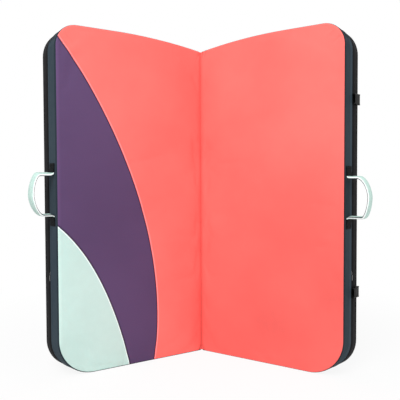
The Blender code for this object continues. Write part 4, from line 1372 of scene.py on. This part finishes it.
def room():
    """A pale floor that keeps the pad's shadow and turns into the white background further out."""
    bm = bmesh.new()
    bmesh.ops.create_circle(bm, cap_ends=True, segments=96, radius=14)
    finish = Finish("pale_floor")
    floor = to_object("studio_floor", bm, finish.done((0.76, 0.76, 0.76), 0.9, gloss=0.1))
    white = opaque((1, 1, 1))
    glow = finish.node("Emission", inputs={"Color": white, "Strength": 1.0})
    away = finish.node("VectorMath", {"operation": "LENGTH"}, {0: finish.object_place()}, output=1)
    share = seen_directly(finish.tree) * finish.smooth(away, 0.5, 1.5, 0.9, 1.0)
    shown = finish.node("MixShader", inputs={0: share, 1: Shade(finish.shader.outputs[0]), 2: glow})
    feed(finish.tree.nodes["Material Output"].inputs["Surface"], shown)

    world = bpy.data.worlds.new("studio")
    world.use_nodes = True
    bpy.context.scene.world = world
    tree = world.node_tree
    fill, clear = (
        build_node(tree, "Background", inputs={"Color": white, "Strength": strength})
        for strength in (0.62, 1.0))
    both = build_node(tree, "MixShader", inputs={0: seen_directly(tree), 1: fill, 2: clear})
    feed(tree.nodes["World Output"].inputs["Surface"], both)


def lamp(name, where, aim, size, power):
    light = bpy.data.lights.new(name, "AREA")
    light.shape = "DISK"
    light.size = size
    light.energy = power
    obj = bpy.data.objects.new(name, light)
    obj.location = where
    obj.rotation_euler = (Vector(aim) - Vector(where)).to_track_quat("-Z", "Y").to_euler()
    bpy.context.scene.collection.objects.link(obj)


def camera():
    """The camera that was fitted to the photo."""
    yaw, pitch, roll = (math.radians(a) for a in (0.731, -2.049, -0.219))
    turned = Matrix.Rotation(roll, 3, "Y") @ Matrix.Rotation(-pitch, 3, "X") @ Matrix.Rotation(-yaw, 3, "Z")
    data = bpy.data.cameras.new("view")
    data.lens = 52.19
    data.sensor_width = 36
    obj = bpy.data.objects.new("view", data)
    matrix = Matrix((turned[0], turned[2], -turned[1])).transposed().to_4x4()
    matrix.translation = (0.0206, -1.7790, 0.5627)
    obj.matrix_world = matrix
    bpy.context.scene.collection.objects.link(obj)
    bpy.context.scene.camera = obj


# Building


camera()
room()
lamp("key", (-0.7, -2.3, 2.9), (0, 0, 0.6), 2.0, 98)
lamp("side", (2.6, -1.2, 0.9), (0, 0, 0.4), 1.6, 15)

landing_cover()
loops = (LEFT, 0.521, (0.0578, 0.66, 0.5, -7, -11, 2)), (RIGHT, 0.51, (0.0560, 0.5, 0.72, 1.5, -5, 2))
for half, height, loop in loops:
    side_band(half)
    zip_tapes(half)
    piping(half)
    base_cover(half)
    spine(half)
    handle(half, height, loop)
    hem_stitches(half)
for name, height in (("upper", 0.789), ("lower", 0.235)):
    socket_tab(RIGHT, name, height)
    plug_strap(LEFT, name, height)
for name, size, height, solid in (("yoke_panel", (0.19, 0.05), 0.715, "harness_yoke"),
                                  ("belt_panel", (0.082, 0.06), BELT_HEIGHT, "belt_patch")):
    plate_patch(LEFT, name, size, (MIDDLE, height), 0.002, 0.012, HARNESS, [solid], rows=2)
for name, side in (("outer", 1), ("inner", -1)):
    shoulder_strap(LEFT, name, side)
    x, tape_bottom = MIDDLE + side * 0.078, 0.3705
    lower_tape(LEFT, name, x, tape_bottom)
    plate_patch(LEFT, f"{name}_tape_panel", (0.05, 0.026), (x, tape_bottom - GAP - 0.013), 0.002, 0.006,
                HARNESS, [f"{name}_lower_patch"])
    belt_wing(LEFT, name, side)

# The solids that stay in sight, and the foam inside
for name, obj in frame["nodes"].items():
    finish = PLASTIC
    if "zip" in name:
        finish = METAL
    elif "core_foam" in name:
        finish = OPEN_FOAM
    elif "foam" in name:
        finish = SEALED_FOAM
    obj.data.materials.clear()
    obj.data.materials.append(finish)

bpy.context.scene.view_settings.view_transform = "Standard"
